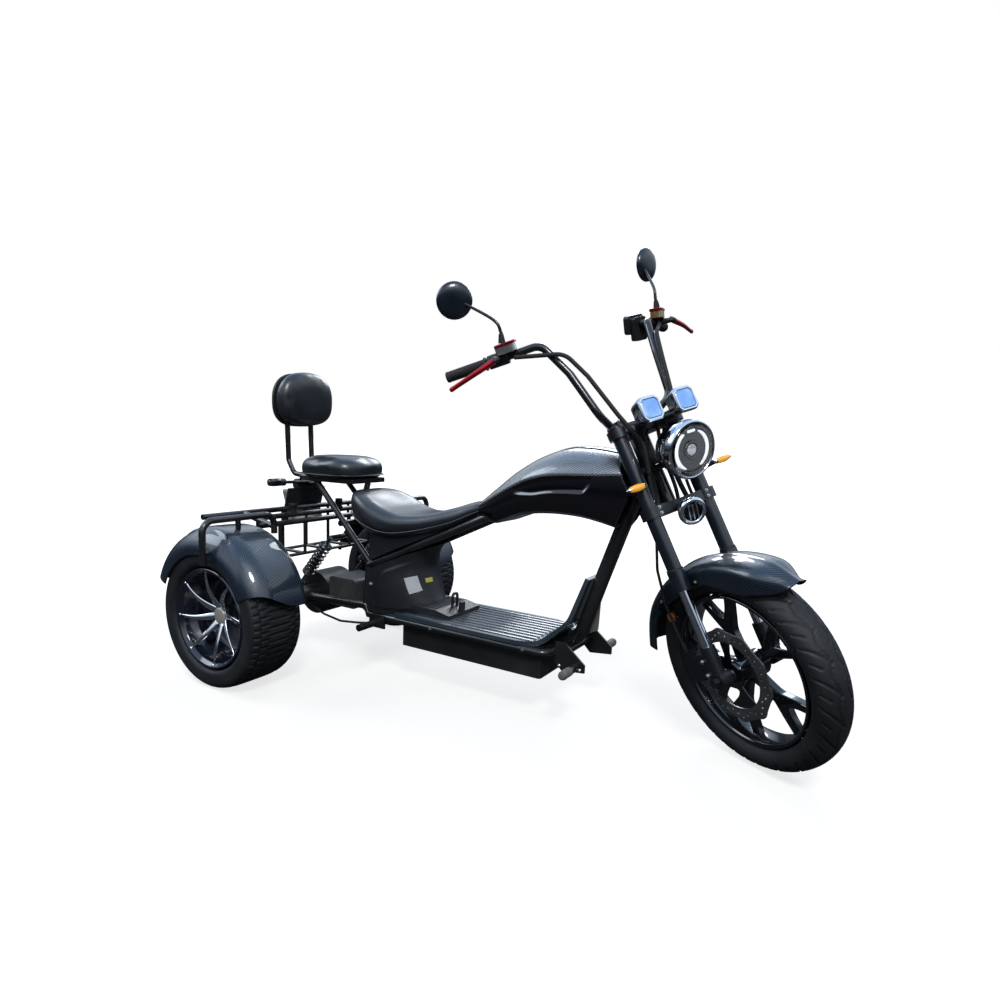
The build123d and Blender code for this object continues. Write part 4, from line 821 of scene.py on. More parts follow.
outer, chart, inner = [], [], []
LONG = 120
for i in range(LONG + 1):
    x = TANK_BACK + (TANK_END - TANK_BACK) * i / LONG
    row = tank_row(x)
    full = [(-y, z) for y, z in reversed(row)] + row[1:]
    run, lengths = 0.0, []
    for k, (y, z) in enumerate(full):
        if k:
            run += hypot(y - full[k - 1][0], z - full[k - 1][1])
        lengths.append(run)
    nose_cut = [min(x, 1612 - 0.52 * z) for y, z in full]
    outer.append([at(cut, -y, z) for (y, z), cut in zip(full, nose_cut)])
    chart.append([(x / 1000, (length - run / 2) / 1000) for length in lengths])
    inner.append([at(cut, -y * 0.965, z - 3) for (y, z), cut in zip(full, nose_cut)])
wide = len(outer[0])
middle = wide // 2
# The crest strip takes the paler film with the painted highlight, edged in gloss black.
tank_upper = skin("tank_upper", outer, inner, "chassis", (film_silver, strip_silver_painted_highlight, tank_black, inside_black),
    chart, lambda i, k: 1 if abs(k + 0.5 - middle) < 6 else (2 if abs(k + 0.5 - middle) < 9 else 0))
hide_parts("tank_shell")

# Tank, lower half: gloss black side panels with a long scoop under the seam that fades out rearwards,
# a rolled lower edge and a front edge cut back along the down tube.
outer, inner = [], []
for i in range(LONG + 1):
    x = TANK_BACK + (TANK_END - TANK_BACK) * i / LONG
    half, seam, crest, low = between(TANK, x)
    row = []
    for k in range(29):
        v = k / 28
        z = seam - 3 - (seam - 3 - low) * v
        y = half - 1 - 3 * sin(pi * v * 0.5) + 5 * sin(pi * min(1, v * 1.1)) - 9 * v ** 3
        reach = 38 * ease(820, 960, x) * ease(1140, 1105, x)
        scoop = ease(6, 12, seam - z) * ease(reach + 16, reach + 8, seam - z) * ease(10, 24, reach)
        y -= 6.0 * scoop
        y -= 10 * ease(0.9, 1.0, v) ** 2
        row.append((y, z))
    row += [(row[-1][0] * share, low + rise) for share, rise in ((0.97, -1), (0.9, -1.5), (0.5, -1.5), (0.1, -1.5))]
    full = [(-y, z) for y, z in row] + list(reversed(row))
    toe = [min(x, 1193 + (z - 613) * 0.458, 1611 - 0.52 * z) for y, z in full]
    outer.append([at(cut, -y, z) for (y, z), cut in zip(full, toe)])
    inner.append([at(cut, -y * 0.96, z + 3.5 * ease(0.7, 1, (seam - z) / (seam - low)))
        for (y, z), cut in zip(full, toe)])
tank_sides = skin("tank_sides", outer, inner, "chassis", (tank_black, inside_black))
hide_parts("tank_lower")

# Front tyre: road tyre with a round crown, long slanting grooves on both shoulders
# and one wandering line each side of the middle. The grooves carry painted shade, darker than the dusty crown.
STEER_AXIS = Vector(joints["steering"]["axis"])
STEER_POINT = Vector(joints["steering"]["pos_m"])
REST_STEER = radians(-34.9)
turned = (Matrix.Translation(STEER_POINT) @ Matrix.Rotation(REST_STEER, 4, STEER_AXIS)
    @ Matrix.Translation(-STEER_POINT))
front_hub = turned @ set_at(1579, 0, 284)


def dust_and_groove_shade_rubber(name):
    """Tyre rubber with painted shade in the grooves, from the tread attribute, dust patches and fine grit."""
    rubber = finish(name, (0.009, 0.01, 0.013), (0.028, 0.028, 0.028), 0.58, 0.16, (14, 0.35), (700, 0.4))
    tree = rubber.node_tree
    # Painted shade: where the tread attribute falls to 0 in a groove, the rubber is painted near-black.
    groove_shade = added(tree, "ShaderNodeMix", {"Factor": added(tree, "ShaderNodeAttribute",
        attribute_name="tread").outputs["Fac"], "A": (0.004, 0.004, 0.004, 1),
        "B": tree.nodes["life"].outputs["Colour"]}, data_type="RGBA")
    fed(tree, tree.nodes["Principled BSDF"], {"Base Color": groove_shade.outputs["Result"]})
    return rubber


def tyre(name, around, across, section, groove, depth, place, material, body, node):
    """Tyre mesh: section(t) gives radius and side place, groove(turn, t) is 0 on the tread and 1 in a groove."""
    verts, tread = [], []
    for i in range(around):
        turn = i / around
        angle = tau * turn
        for k in range(across):
            t = 2 * k / (across - 1) - 1
            radius, along = section(t)
            cut = groove(turn, t)
            radius -= depth * cut
            verts.append(place @ Vector((radius * cos(angle), along, radius * sin(angle))))
            tread.append(1 - cut)
    made = piece(name, verts, ring_faces(around, across, True), material, body)
    outward(made.data)
    # The tread attribute marks the painted groove shade: 1 on the tread, 0 deep in a groove.
    layer = made.data.attributes.new("tread", "FLOAT", "POINT")
    layer.data.foreach_set("value", tread)
    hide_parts(node)


def front_section(t):
    """Round section: radius and side place."""
    angle = radians(146) * t
    return 0.2455 + 0.0385 * cos(angle), 0.0525 * sin(angle)


def front_groove(turn, t):
    """Slashes that start near the middle and sweep back to the shoulder."""
    side, reach = (1, t) if t > 0 else (-1, -t)
    lap = turn * 22 + (0.5 if side < 0 else 0)
    if reach > 0.6:
        return 0.0
    bend = 0.95 * reach / 0.6 - 0.35 * (reach / 0.6) ** 2
    off = abs((lap - 1.5 * bend + 0.5) % 1 - 0.5)
    long_cut = 1 - min(1, max(0, (off - 0.035) / 0.022)) if 0.05 < reach < 0.56 else 0
    off = abs((lap - 1.5 * bend + 1.0) % 1 - 0.5)
    short_cut = 1 - min(1, max(0, (off - 0.028) / 0.022)) if 0.27 < reach < 0.52 else 0
    line = 0.135 + 0.035 * sin(tau * turn * 22)
    ring_cut = 1 - min(1, max(0, (abs(reach - line) - 0.01) / 0.012))
    return max(long_cut, short_cut, ring_cut)


tyre("road_tyre_front", 720, 72, front_section, front_groove, 0.0035, front_hub, dust_and_groove_shade_rubber("road_tyre"),
    "front_wheel", "front_tyre")

# Front wheel: cast alloy under gloss black, with a deep rim and five forked spokes
# that spread from the hub and meet the rim in pairs.
alloy_black = finish("alloy_black", (0.006, 0.007, 0.01), (0.03, 0.03, 0.032), 0.14, 0.18, (6, 0.25), (260, 0.04),
    coat=0.8)
FLAT = Matrix(((1, 0, 0, 0), (0, 0, -1, 0), (0, 1, 0, 0), (0, 0, 0, 1)))
rim_profile = [(0.2128, 0.0385), (0.2128, 0.0355), (0.207, 0.034), (0.2045, 0.028), (0.2035, 0.012), (0.203, 0.0),
    (0.2035, -0.012), (0.2045, -0.028), (0.207, -0.034), (0.2128, -0.0355), (0.2128, -0.0385), (0.209, -0.0398),
    (0.2045, -0.0385), (0.2, -0.03), (0.1965, -0.016), (0.1955, 0.0), (0.1965, 0.016), (0.2, 0.03), (0.2045, 0.0385),
    (0.209, 0.0398)]
front_rim = spun("front_rim_ring", rim_profile, 144, front_hub, alloy_black, "front_wheel")
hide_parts("front_rim")
for number in range(5):
    lean = radians(-24 + 72 * number)
    arm = [(0.026, -0.017), (0.06, -0.0125), (0.104, -0.0125), (0.146, -0.034), (0.1985, -0.0585), (0.2005, -0.0435),
        (0.165, -0.026), (0.132, 0.0), (0.165, 0.026), (0.2005, 0.0435), (0.1985, 0.0585), (0.146, 0.034),
        (0.104, 0.0125), (0.06, 0.0125), (0.026, 0.017)]
    arm = [(x * cos(lean) - z * sin(lean), x * sin(lean) + z * cos(lean)) for x, z in arm]
    flat_cut("front_spoke_%d" % (number + 1), [rounded(arm, 0.012)], 0.024, 0.004, front_hub @ FLAT, alloy_black,
        "front_wheel")
hub_profile = [(0.01, 0.0735), (0.017, 0.0735), (0.0175, 0.05), (0.033, 0.047), (0.036, 0.042), (0.03, 0.03),
    (0.028, 0.0), (0.03, -0.03), (0.036, -0.045), (0.036, -0.0585), (0.018, -0.06), (0.0175, -0.0735),
    (0.01, -0.0735)]
spun("front_hub_shell", hub_profile, 64, front_hub, alloy_black, "front_wheel")

# Front brake disc: wavy drilled steel ring on a black carrier with five arms.
# The ring is dull grey with a fine grain.
disc_steel = finish("disc_steel", (0.3, 0.3, 0.31), (0.06, 0.055, 0.05), 0.34, 0.12, (18, 0.5), (500, 0.1), metal=0.9)
wave = []
for i in range(240):
    angle = tau * i / 240
    reach = 0.1262 + 0.0036 * cos(10 * angle) + 0.0008 * cos(20 * angle)
    wave.append((reach * cos(angle), reach * sin(angle)))
holes = [circle(0.0925, 60)]
for k in range(10):
    for step, radius in ((0, 0.117), (9, 0.11), (18, 0.103), (27, 0.11)):
        angle = radians(36 * k + step)
        holes.append(circle(0.0034, 12, radius * cos(angle), radius * sin(angle)))
disc_place = front_hub @ Matrix.Translation(Vector((0, -0.061, 0))) @ FLAT
brake_disc = flat_cut("brake_disc_ring", [wave] + holes, 0.004, 0.0004, disc_place, disc_steel,
    "front_wheel")
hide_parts("front_disc")
carrier = []
for k in range(5):
    for turn, reach in ((-36, 0.036), (-15, 0.038), (-9, 0.062), (-10, 0.094), (10, 0.094), (9, 0.062), (15, 0.038)):
        angle = radians(72 * k + turn + 30)
        carrier.append((reach * cos(angle), reach * sin(angle)))
flat_cut("brake_disc_carrier", [rounded(carrier, 0.008), circle(0.02, 40)], 0.0036, 0.0006,
    front_hub @ Matrix.Translation(Vector((0, -0.0612, 0))) @ FLAT, alloy_black, "front_wheel")


# Rear tyres: low, wide and square, with seven ribs cut into blocks by cross grooves.
# The gaps carry painted shade, so the blocks are barely paler than them.
def rear_section(t):
    """Squared section: flat crown, tight shoulders and a short side wall."""
    angle = radians(150) * t
    sine, cosine = sin(angle), cos(angle)
    along = 0.1022 * copysign(abs(sine) ** 0.42, sine)
    radius = 0.2028 + 0.0355 * copysign(abs(cosine) ** 0.5, cosine)
    return radius, along


def rear_groove(turn, t):
    """Straight ring grooves and broken cross grooves."""
    radius, along = rear_section(t)
    if abs(along) > 0.094 or radius < 0.222:
        return 0.0
    rib = (along + 0.098) / 0.028
    near_ring = abs(rib - round(rib)) * 0.028
    ring_cut = 1 - min(1, max(0, (near_ring - 0.0022) / 0.0016))
    shift = 0.5 if int(floor(rib)) % 2 else 0.0
    near_cross = abs((turn * 60 + shift + 0.5) % 1 - 0.5) * 0.025
    cross_cut = 1 - min(1, max(0, (near_cross - 0.0026) / 0.002))
    return max(ring_cut, cross_cut)


block_tyre = dust_and_groove_shade_rubber("block_tyre")
rear_hub = {}
for name, side in SIDES:
    rear_hub[name] = set_at(0, 453 * side, 238.5)
    tyre("block_tyre_" + name, 560, 84, rear_section, rear_groove, 0.0045, rear_hub[name], block_tyre,
        "rear_wheel_" + name, "rear_tyre_" + name)

# Rear wheels: deep dished rim in gloss blue-black, eight slender chrome blades from a small hub
# out to the lip, each with a bead on its tip, and a pale domed cap on the hub.
barrel_black = finish("barrel_black", (0.006, 0.009, 0.02), (0.03, 0.035, 0.05), 0.12, 0.15, (5, 0.3), (260, 0.03),
    coat=0.9)
bright_chrome = finish("bright_chrome", (0.78, 0.79, 0.81), (0.62, 0.63, 0.65), 0.06, 0.08, (12, 0.3), (240, 0.02),
    metal=1.0)
cap_cream = finish("cap_cream", (0.56, 0.53, 0.46), (0.42, 0.4, 0.35), 0.3, 0.15, (14, 0.3), (500, 0.1), metal=0.35,
    coat=0.3)
for name, side in SIDES:
    body = "rear_wheel_" + name
    barrel = [(0.1668, 0.0955), (0.1635, 0.0958), (0.1595, 0.094), (0.1575, 0.0885), (0.153, 0.086), (0.1505, 0.08),
        (0.1495, 0.05), (0.14, 0.042), (0.1385, 0.02), (0.1375, -0.012), (0.12, -0.018), (0.06, -0.019),
        (0.031, -0.019), (0.031, -0.029), (0.14, -0.029), (0.145, -0.045), (0.152, -0.09), (0.16, -0.0955),
        (0.1668, -0.0955), (0.1668, -0.05), (0.164, 0.0), (0.1668, 0.05)]
    rim = spun("rear_rim_" + name + "_barrel", [(r, side * y) for r, y in barrel], 128, rear_hub[name], barrel_black,
        body)
    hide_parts("rear_rim_" + name)
    spool = [(0.018, -0.019), (0.03, -0.019), (0.03, 0.01), (0.025, 0.014), (0.025, 0.026), (0.031, 0.03),
        (0.0315, 0.044), (0.029, 0.0475), (0.018, 0.048)]
    spun("rear_hub_" + name, [(r, side * y) for r, y in spool], 64, rear_hub[name], bright_chrome, body)
    dome = [(0.0, 0.0525), (0.014, 0.052), (0.024, 0.0508), (0.0275, 0.049), (0.028, 0.047), (0.0, 0.047)]
    spun("rear_cap_" + name, [(r, side * y) for r, y in dome], 48, rear_hub[name], cap_cream, body)
    for number in range(8):
        lean = radians(5 + 45 * number)
        outward_dir = Vector((cos(lean), 0, sin(lean)))
        across_dir = Vector((-sin(lean), 0, cos(lean)))
        axle_dir = Vector((0, side, 0))
        verts, rings = [], 15
        for i in range(rings):
            u = i / (rings - 1)
            reach = 0.022 + 0.137 * u
            depth = 0.0405 + 0.046 * u + 0.01 * sin(pi * u)
            bow = 0.0075 * sin(pi * u)
            width = 0.0112 * (1 - u) + 0.0032
            thick = 0.0034 * (1 - u) + 0.0024
            twist = radians(16) * (1 - u)
            centre = outward_dir * reach + axle_dir * depth + across_dir * bow
            wide = across_dir * cos(twist) + axle_dir * sin(twist)
            deep = axle_dir * cos(twist) - across_dir * sin(twist)
            for k in range(10):
                turn = tau * k / 10
                verts.append(rear_hub[name] @ (centre + wide * width * cos(turn) + deep * thick * sin(turn)))
        blade = piece("rear_blade_%s_%d" % (name, number + 1), verts, stack_faces(rings, 10), bright_chrome,
            body)
        outward(blade.data)
        tip = outward_dir * 0.1585 + axle_dir * 0.0885
        bead = bmesh.new()
        bmesh.ops.create_uvsphere(bead, u_segments=16, v_segments=10, radius=0.0052)
        bead.transform(rear_hub[name] @ Matrix.Translation(tip))
        mesh = bpy.data.meshes.new("bead")
        bead.to_mesh(mesh)
        bead.free()
        dressed("rear_bead_%s_%d" % (name, number + 1), mesh, bright_chrome, body)

# Rear fenders: barrel-shaped glass-fibre shells in dark blue-black woven film under lacquer, lifted with a painted
# sky reflection.
# The crown stands proud of the outer skirt along a crease, and the inboard edge has a rolled lip.
# Painted reflection: the film's own navy is lifted bluer and lighter for the sky that the lacquer reflects.
film_navy_painted_sky = woven("film_navy_painted_sky", (0.034, 0.062, 0.105), (0.006, 0.01, 0.018), 0.0024, 0.25, 0.28)
FENDER_X, FENDER_Z, FENDER_R = -20, 250, 285
# inboard edge, width; turns of the front and back edges from straight ahead, in degrees
FENDER_IN, FENDER_WIDE, TURN_FRONT, TURN_BACK = 354, 212, 10, 166
for name, side in SIDES:
    outer, inner, chart = [], [], []
    for i in range(121):
        share = i / 120
        columns, rim = [], []
        for k in range(57):
            v = k / 56
            y = FENDER_IN + FENDER_WIDE * v
            if v < 0.05:
                y, r = FENDER_IN, FENDER_R - 18 + 14 * v / 0.05
            else:
                w = (v - 0.05) / 0.95
                bend = radians(100) * max(0, (w - 0.42) / 0.58)
                y = FENDER_IN + 132 * min(1, w / 0.42) + 78 * sin(min(bend, pi / 2))
                r = FENDER_R - 4 + 4 * sin(pi * min(1, w / 0.42) / 2) - 74 * (1 - cos(min(bend, pi / 2)))
                if bend > pi / 2:
                    r -= 6 * (bend - pi / 2) / radians(10)
            front = radians(TURN_FRONT) + radians(12) * ease(400, 560, y)
            back = radians(TURN_BACK) - radians(9) * ease(470, 566, y)
            turn = front + (back - front) * share
            crease = 505 + 52 * ease(radians(100), radians(25), turn)
            proud = 5.0 * ease(crease + 5, crease - 5, y) * ease(radians(128), radians(112), turn)
            r += proud * ease(0.02, 0.1, v) - 3.0
            columns.append(at(FENDER_X + r * cos(turn), side * y, FENDER_Z + r * sin(turn)))
            inside = (r - 4, y - 3 * (1 if v > 0.6 else 0) + 3 * (1 if v < 0.05 else 0))
            rim.append(at(FENDER_X + inside[0] * cos(turn), side * inside[1], FENDER_Z + inside[0] * sin(turn)))
        outer.append(columns)
        inner.append(rim)
        chart.append([(FENDER_R / 1000 * radians(TURN_BACK - TURN_FRONT) * share, 0.3 * k / 56) for k in range(57)])
    fender = skin("rear_fender_" + name, outer, inner, "chassis", (film_navy_painted_sky, inside_black), chart)
    if side > 0:
        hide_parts("rear_fenders")
    lip = []
    for k in range(61):
        turn = radians(TURN_FRONT + (TURN_BACK - TURN_FRONT) * k / 60)
        lip.append(at(FENDER_X + 271 * cos(turn), side * 352.5, FENDER_Z + 271 * sin(turn)))
    tube("rear_fender_lip_" + name, lip, 0.0035, tank_black, "chassis")

# Front fender: a leaf-shaped shell hugging the tyre, pointed at the front, long and narrow behind,
# in the same dark woven film, with a black inner side and a bolt on each fork leg.
GUARD_X, GUARD_Z, GUARD_R = 1632, 199, 413
# The skirt's lower edge is an arc about a point ahead of the fender's middle and below it.
SKIRT_AHEAD, SKIRT_BELOW, SKIRT_R = 158, 207, 607
# columns: turn from straight ahead in degrees, depth of the skirt below the crown
BELLY = [(74, 2), (76, 22), (79, 40), (84, 59), (90, 73), (97, 75), (104, 69), (112, 60), (125, 50)]
outer, inner, chart = [], [], []
for i in range(129):
    turn = radians(74.5 + 101.5 * i / 128)
    b = -SKIRT_AHEAD * cos(turn) + SKIRT_BELOW * sin(turn)
    arc = sqrt(b * b + SKIRT_R ** 2 - SKIRT_AHEAD ** 2 - SKIRT_BELOW ** 2) - b
    depth = max(2.0, GUARD_R - arc, between(BELLY, degrees(turn))[0])
    half = 67 * (1 - 0.62 * ease(radians(92), radians(73), turn) ** 1.6)
    half *= 1 - 0.22 * ease(radians(150), radians(178), turn)
    row, rim, run = [], [], []
    for k in range(49):
        w = 2 * k / 48 - 1
        bend = radians(90) * min(1, abs(w) / 0.72)
        y = half * sin(bend) ** 0.9
        drop = 30 * min(1, depth / 30) * (1 - cos(bend)) ** 1.1
        skirt = max(0, abs(w) - 0.72) / 0.28
        drop += (depth - 30 * min(1, depth / 30)) * skirt
        ridge = 3.0 * exp(-(y / 7) ** 2)
        r = GUARD_R - drop - 3 + ridge - 12 * ease(radians(88), radians(74.5), turn)
        y = copysign(y, w)
        row.append(turned @ at(GUARD_X + r * cos(turn), y, GUARD_Z + r * sin(turn)))
        rim.append(turned @ at(GUARD_X + (r - 3.5) * cos(turn), y * 0.955, GUARD_Z + (r - 3.5) * sin(turn)))
        run.append((GUARD_R / 1000 * turn, 0.1 * w))
    outer.append(row)
    inner.append(rim)
    chart.append(run)
# The film carries the painted sky reflection here too.
front_guard = skin("front_guard", outer, inner, "steering", (film_navy_painted_sky, inside_black), chart)
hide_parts("front_fender")

# Fender fittings: two bolts on each side, and an amber reflector low on each side on a black plate
# that hangs from the fender's edge.
reflector_amber = finish("reflector_amber", (0.62, 0.16, 0.02), (0.45, 0.11, 0.015), 0.25, 0.08, (200, 0.5),
    (900, 0.2), coat=0.8)
bright_brass = finish("bright_brass", (0.75, 0.66, 0.46), (0.55, 0.48, 0.34), 0.28, 0.1, (60, 0.4), (500, 0.05),
    metal=1.0)


def guard_side(turn, depth, side, out):
    """Steered frame on the side of the front fender, local Z pointing away from the wheel."""
    angle, r = radians(turn), GUARD_R - depth
    return (turned @ set_at(GUARD_X + r * cos(angle), side * out, GUARD_Z + r * sin(angle))
        @ rotated(-90 * side, "X"))


for name, side in SIDES:
    lie = radians(145.3)
    tongue = [(u * cos(lie) - v * sin(lie), -side * (u * sin(lie) + v * cos(lie)))
        for u, v in ((-0.024, -0.014), (-0.024, 0.014), (-0.01, 0.022), (0.02, 0.021), (0.054, 0.027),
        (0.054, -0.027), (0.02, -0.021), (-0.01, -0.022))]
    flat_cut("reflector_plate_" + name, [rounded(tongue, 0.006)], 0.0025, 0.0006, guard_side(145.3, 97.3, side, 66),
        tank_black, "steering")
    spun("reflector_" + name, [(0, 0), (0.015, 0), (0.015, 0.003), (0.0128, 0.0042), (0, 0.0048)], 48,
        guard_side(145.3, 97.3, side, 67) @ rotated(90, "X"), reflector_amber, "steering", closed=False)
    for number, (turn, depth, out, metal) in enumerate(((116, 53, 66, bright_brass), (144, 46, 66, bright_zinc))):
        bolt("guard_bolt_%s_%d" % (name, number), guard_side(turn, depth, side, out), 0.0042, 0.005, metal,
            "steering")

# Fork: satin blue-black upper legs in two clamps, bright chrome lower tubes, black feet with bright bolts.
# A ridged dust seal closes each upper leg where the chrome tube comes out.
AXIS_X, AXIS_Z, RAKE = 1534.61, 260.99, radians(27.4)
LEG_AHEAD, LEG_OUT = 45, 95


def on_fork(forward, y, along):
    """Place ahead of the steering axis, across it and up along it, before the steering is turned."""
    return at(AXIS_X + forward * cos(RAKE) - along * sin(RAKE), y, AXIS_Z + forward * sin(RAKE) + along * cos(RAKE))


def fork_place(forward, y, along):
    """Steered frame at that place, with local X ahead, Y to the left and Z up along the fork."""
    return turned @ Matrix.Translation(on_fork(forward, y, along)) @ Matrix.Rotation(-RAKE, 4, "Y")


leg_black = finish("leg_black", (0.006, 0.01, 0.02), (0.016, 0.022, 0.032), 0.3, 0.12, (8, 0.3), (600, 0.08),
    coat=0.5)
clamp_black = finish("clamp_black", (0.006, 0.008, 0.012), (0.02, 0.022, 0.028), 0.36, 0.12, (12, 0.4), (500, 0.12),
    coat=0.3)
seal_rubber = finish("seal_rubber", (0.01, 0.01, 0.011), (0.05, 0.05, 0.048), 0.7, 0.1, (40, 0.4), (700, 0.2))
mirror_chrome = finish("mirror_chrome", (0.86, 0.88, 0.91), (0.7, 0.72, 0.75), 0.05, 0.05, (12, 0.3), (300, 0.01),
    metal=1.0)
dress(leg_black, "fork_uppers")
dress(clamp_black, "fork_clamps", "fork_feet")
dress(mirror_chrome, "fork_sliders")
for name, side in SIDES:
    profile = [(0.0145, 0), (0.022, 0), (0.0228, -0.002), (0.0215, -0.004), (0.0228, -0.006), (0.0215, -0.008),
        (0.0225, -0.01), (0.019, -0.013), (0.0145, -0.013)]
    spun("fork_seal_" + name, profile, 64, fork_place(LEG_AHEAD, LEG_OUT * side, 311) @ rotated(90, "X"), seal_rubber,
        "steering")
    for number, along in enumerate((462, 478, 702)):
        place = fork_place(LEG_AHEAD + 27, side * (LEG_OUT - 12), along) @ rotated(90, "Y")
        bolt("clamp_bolt_%s_%d" % (name, number), place, 0.0034, 0.005, bright_zinc, "steering")
    for number, along in enumerate((20, 58)):
        place = fork_place(LEG_AHEAD - 14, side * 115.5, along) @ rotated(-90 * side, "X")
        bolt("foot_bolt_%s_%d" % (name, number), place, 0.005, 0.006, bright_zinc, "steering")
    spun("leg_cap_" + name, [(0, 0.003), (0.0165, 0.003), (0.0185, 0.001), (0.0185, -0.004), (0, -0.004)], 48,
        fork_place(LEG_AHEAD, LEG_OUT * side, 722) @ rotated(-90, "X"), clamp_black, "steering",
        closed=False)


# Headlamp: chrome bowl and rim, black bezel, two white light arcs open at top and bottom,
# a clear projector in the middle, all behind a slightly domed clear glass.
def facing(point, turn=0.0):
    """Steered frame whose local Y axis looks ahead from a point, turned to the side in degrees."""
    return turned @ Matrix.Translation(point) @ rotated(turn, "Z") @ rotated(-90, "Z")


LAMP_X, LAMP_Z = AXIS_X - 106, AXIS_Z + 598
lamp_face = facing(at(LAMP_X, 0, LAMP_Z))
lamp_black = finish("lamp_black", (0.004, 0.004, 0.005), (0.012, 0.012, 0.013), 0.2, 0.1, (30, 0.3), (400, 0.02),
    coat=0.6)
lamp_grey = finish("lamp_grey", (0.035, 0.04, 0.047), (0.06, 0.066, 0.075), 0.4, 0.1, (40, 0.4), (900, 0.1),
    metal=0.3)
arc_white = finish("arc_white", (0.85, 0.87, 0.88), (0.75, 0.77, 0.8), 0.3, 0.05, (40, 0.2), (300, 0.02), coat=0.4,
    more={"Emission Color": (0.95, 0.97, 1.0, 1), "Emission Strength": 0.28})
eye_glass = finish("eye_glass", (0.3, 0.32, 0.35), (0.45, 0.47, 0.5), 0.12, 0.05, (160, 0.6), (500, 0.05), metal=0.7,
    coat=1.0)
lamp_glass = finish("lamp_glass", (0.96, 0.98, 1.0), (0.9, 0.92, 0.95), 0.03, 0.02, (20, 0.2), (200, 0.004),
    more={"Transmission Weight": 1.0, "IOR": 1.2})
bowl = [(0, -0.112), (0.01, -0.1115), (0.024, -0.107), (0.038, -0.098), (0.05, -0.086), (0.06, -0.07),
    (0.067, -0.052), (0.0712, -0.034), (0.0716, -0.029), (0.0745, -0.0285), (0.0765, -0.026), (0.077, -0.022),
    (0.077, -0.008), (0.0762, -0.003), (0.0735, -0.0005), (0.0705, -0.0005), (0.0688, -0.003), (0.068, -0.012),
    (0, -0.012)]
lamp_bowl = spun("headlamp_bowl", bowl, 128, lamp_face, mirror_chrome, "steering", closed=False)
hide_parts("headlamp_shell")
bezel = [(0.058, -0.0118), (0.0575, -0.004), (0.0595, -0.0022), (0.066, -0.0022), (0.0682, -0.004), (0.0682, -0.0118)]
spun("headlamp_bezel", bezel, 128, lamp_face, lamp_black, "steering")
dish = [(0, -0.0115), (0.0578, -0.0115), (0.0578, -0.0062), (0.05, -0.0068), (0.034, -0.0085), (0.022, -0.01),
    (0, -0.0105)]
spun("headlamp_dish", dish, 96, lamp_face, lamp_grey, "steering", closed=False)
for name, middle_turn in (("left", 180), ("right", 0)):
    verts = []
    for i in range(61):
        share = 2 * i / 60 - 1
        turn = radians(middle_turn + 62 * share)
        thin = 0.006 * (1 - 0.62 * abs(share) ** 3)
        for k in range(8):
            bead = tau * k / 8
            radius = 0.052 + thin * cos(bead) - 0.001 * abs(share)
            verts.append(lamp_face @ Vector((radius * cos(turn), -0.0052 + 0.0024 * sin(bead), radius * sin(turn))))
    arc = piece("headlamp_arc_" + name, verts, stack_faces(61, 8), arc_white, "steering")
    clean(arc.data)
bar_face = lamp_face @ Matrix.Translation((0, -0.0045, 0.05)) @ rotated(90, "X")
flat_cut("headlamp_bar", [rounded([(-0.012, -0.003), (0.012, -0.003), (0.012, 0.003), (-0.012, 0.003)], 0.002)],
    0.003, 0.0006, bar_face, arc_white, "steering")
collar = [(0.0165, -0.0105), (0.024, -0.0105), (0.0235, -0.0062), (0.02, -0.0038), (0.0172, -0.0046)]
spun("projector_collar", collar, 72, lamp_face, lamp_grey, "steering")
eye = [(0, -0.0104), (0.0166, -0.0104), (0.0164, -0.0064), (0.014, -0.0038), (0.01, -0.0018), (0.005, -0.0006),
    (0, -0.0002)]
spun("projector_eye", eye, 64, lamp_face, eye_glass, "steering", closed=False)
cover = [(0, 0.0036), (0.02, 0.0034), (0.04, 0.0026), (0.056, 0.0012), (0.0676, -0.0012), (0.0676, -0.002),
    (0.056, 0.0002), (0.04, 0.0016), (0.02, 0.0024), (0, 0.0026)]
lamp_cover = spun("headlamp_glass", cover, 128, lamp_face, lamp_glass, "steering", closed=False)
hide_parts("headlamp_lens")
tube("headlamp_stay", [turned @ on_fork(45, y, 585) for y in (-74, 74)], 0.009, clamp_black,
    "steering", smooth_run=False)
tube("headlamp_neck", [turned @ on_fork(45, 0, 585), turned @ at(LAMP_X - 100, 0, LAMP_Z)], 0.012, clamp_black,
    "steering", smooth_run=False)
bolt("headlamp_side_screw", facing(at(LAMP_X - 15, -76.5, LAMP_Z + 2)) @ rotated(90, "Y"), 0.0062, 0.005, lamp_black,
    "steering", 24)

# Gauge pods: two faceted chrome housings on a black bracket, each with a screen glass coloured pale blue
# as a painted sky reflection, set in a wide bright frame.
# Painted reflection: the screen glass is coloured pale blue, with paler patches, for the sky it reflects.
screen_painted_sky = finish("screen_painted_sky", (0.3, 0.52, 0.92), (0.55, 0.72, 0.98), 0.07, 0.04, (26, 0.9), (300, 0.01),
    metal=0.85)
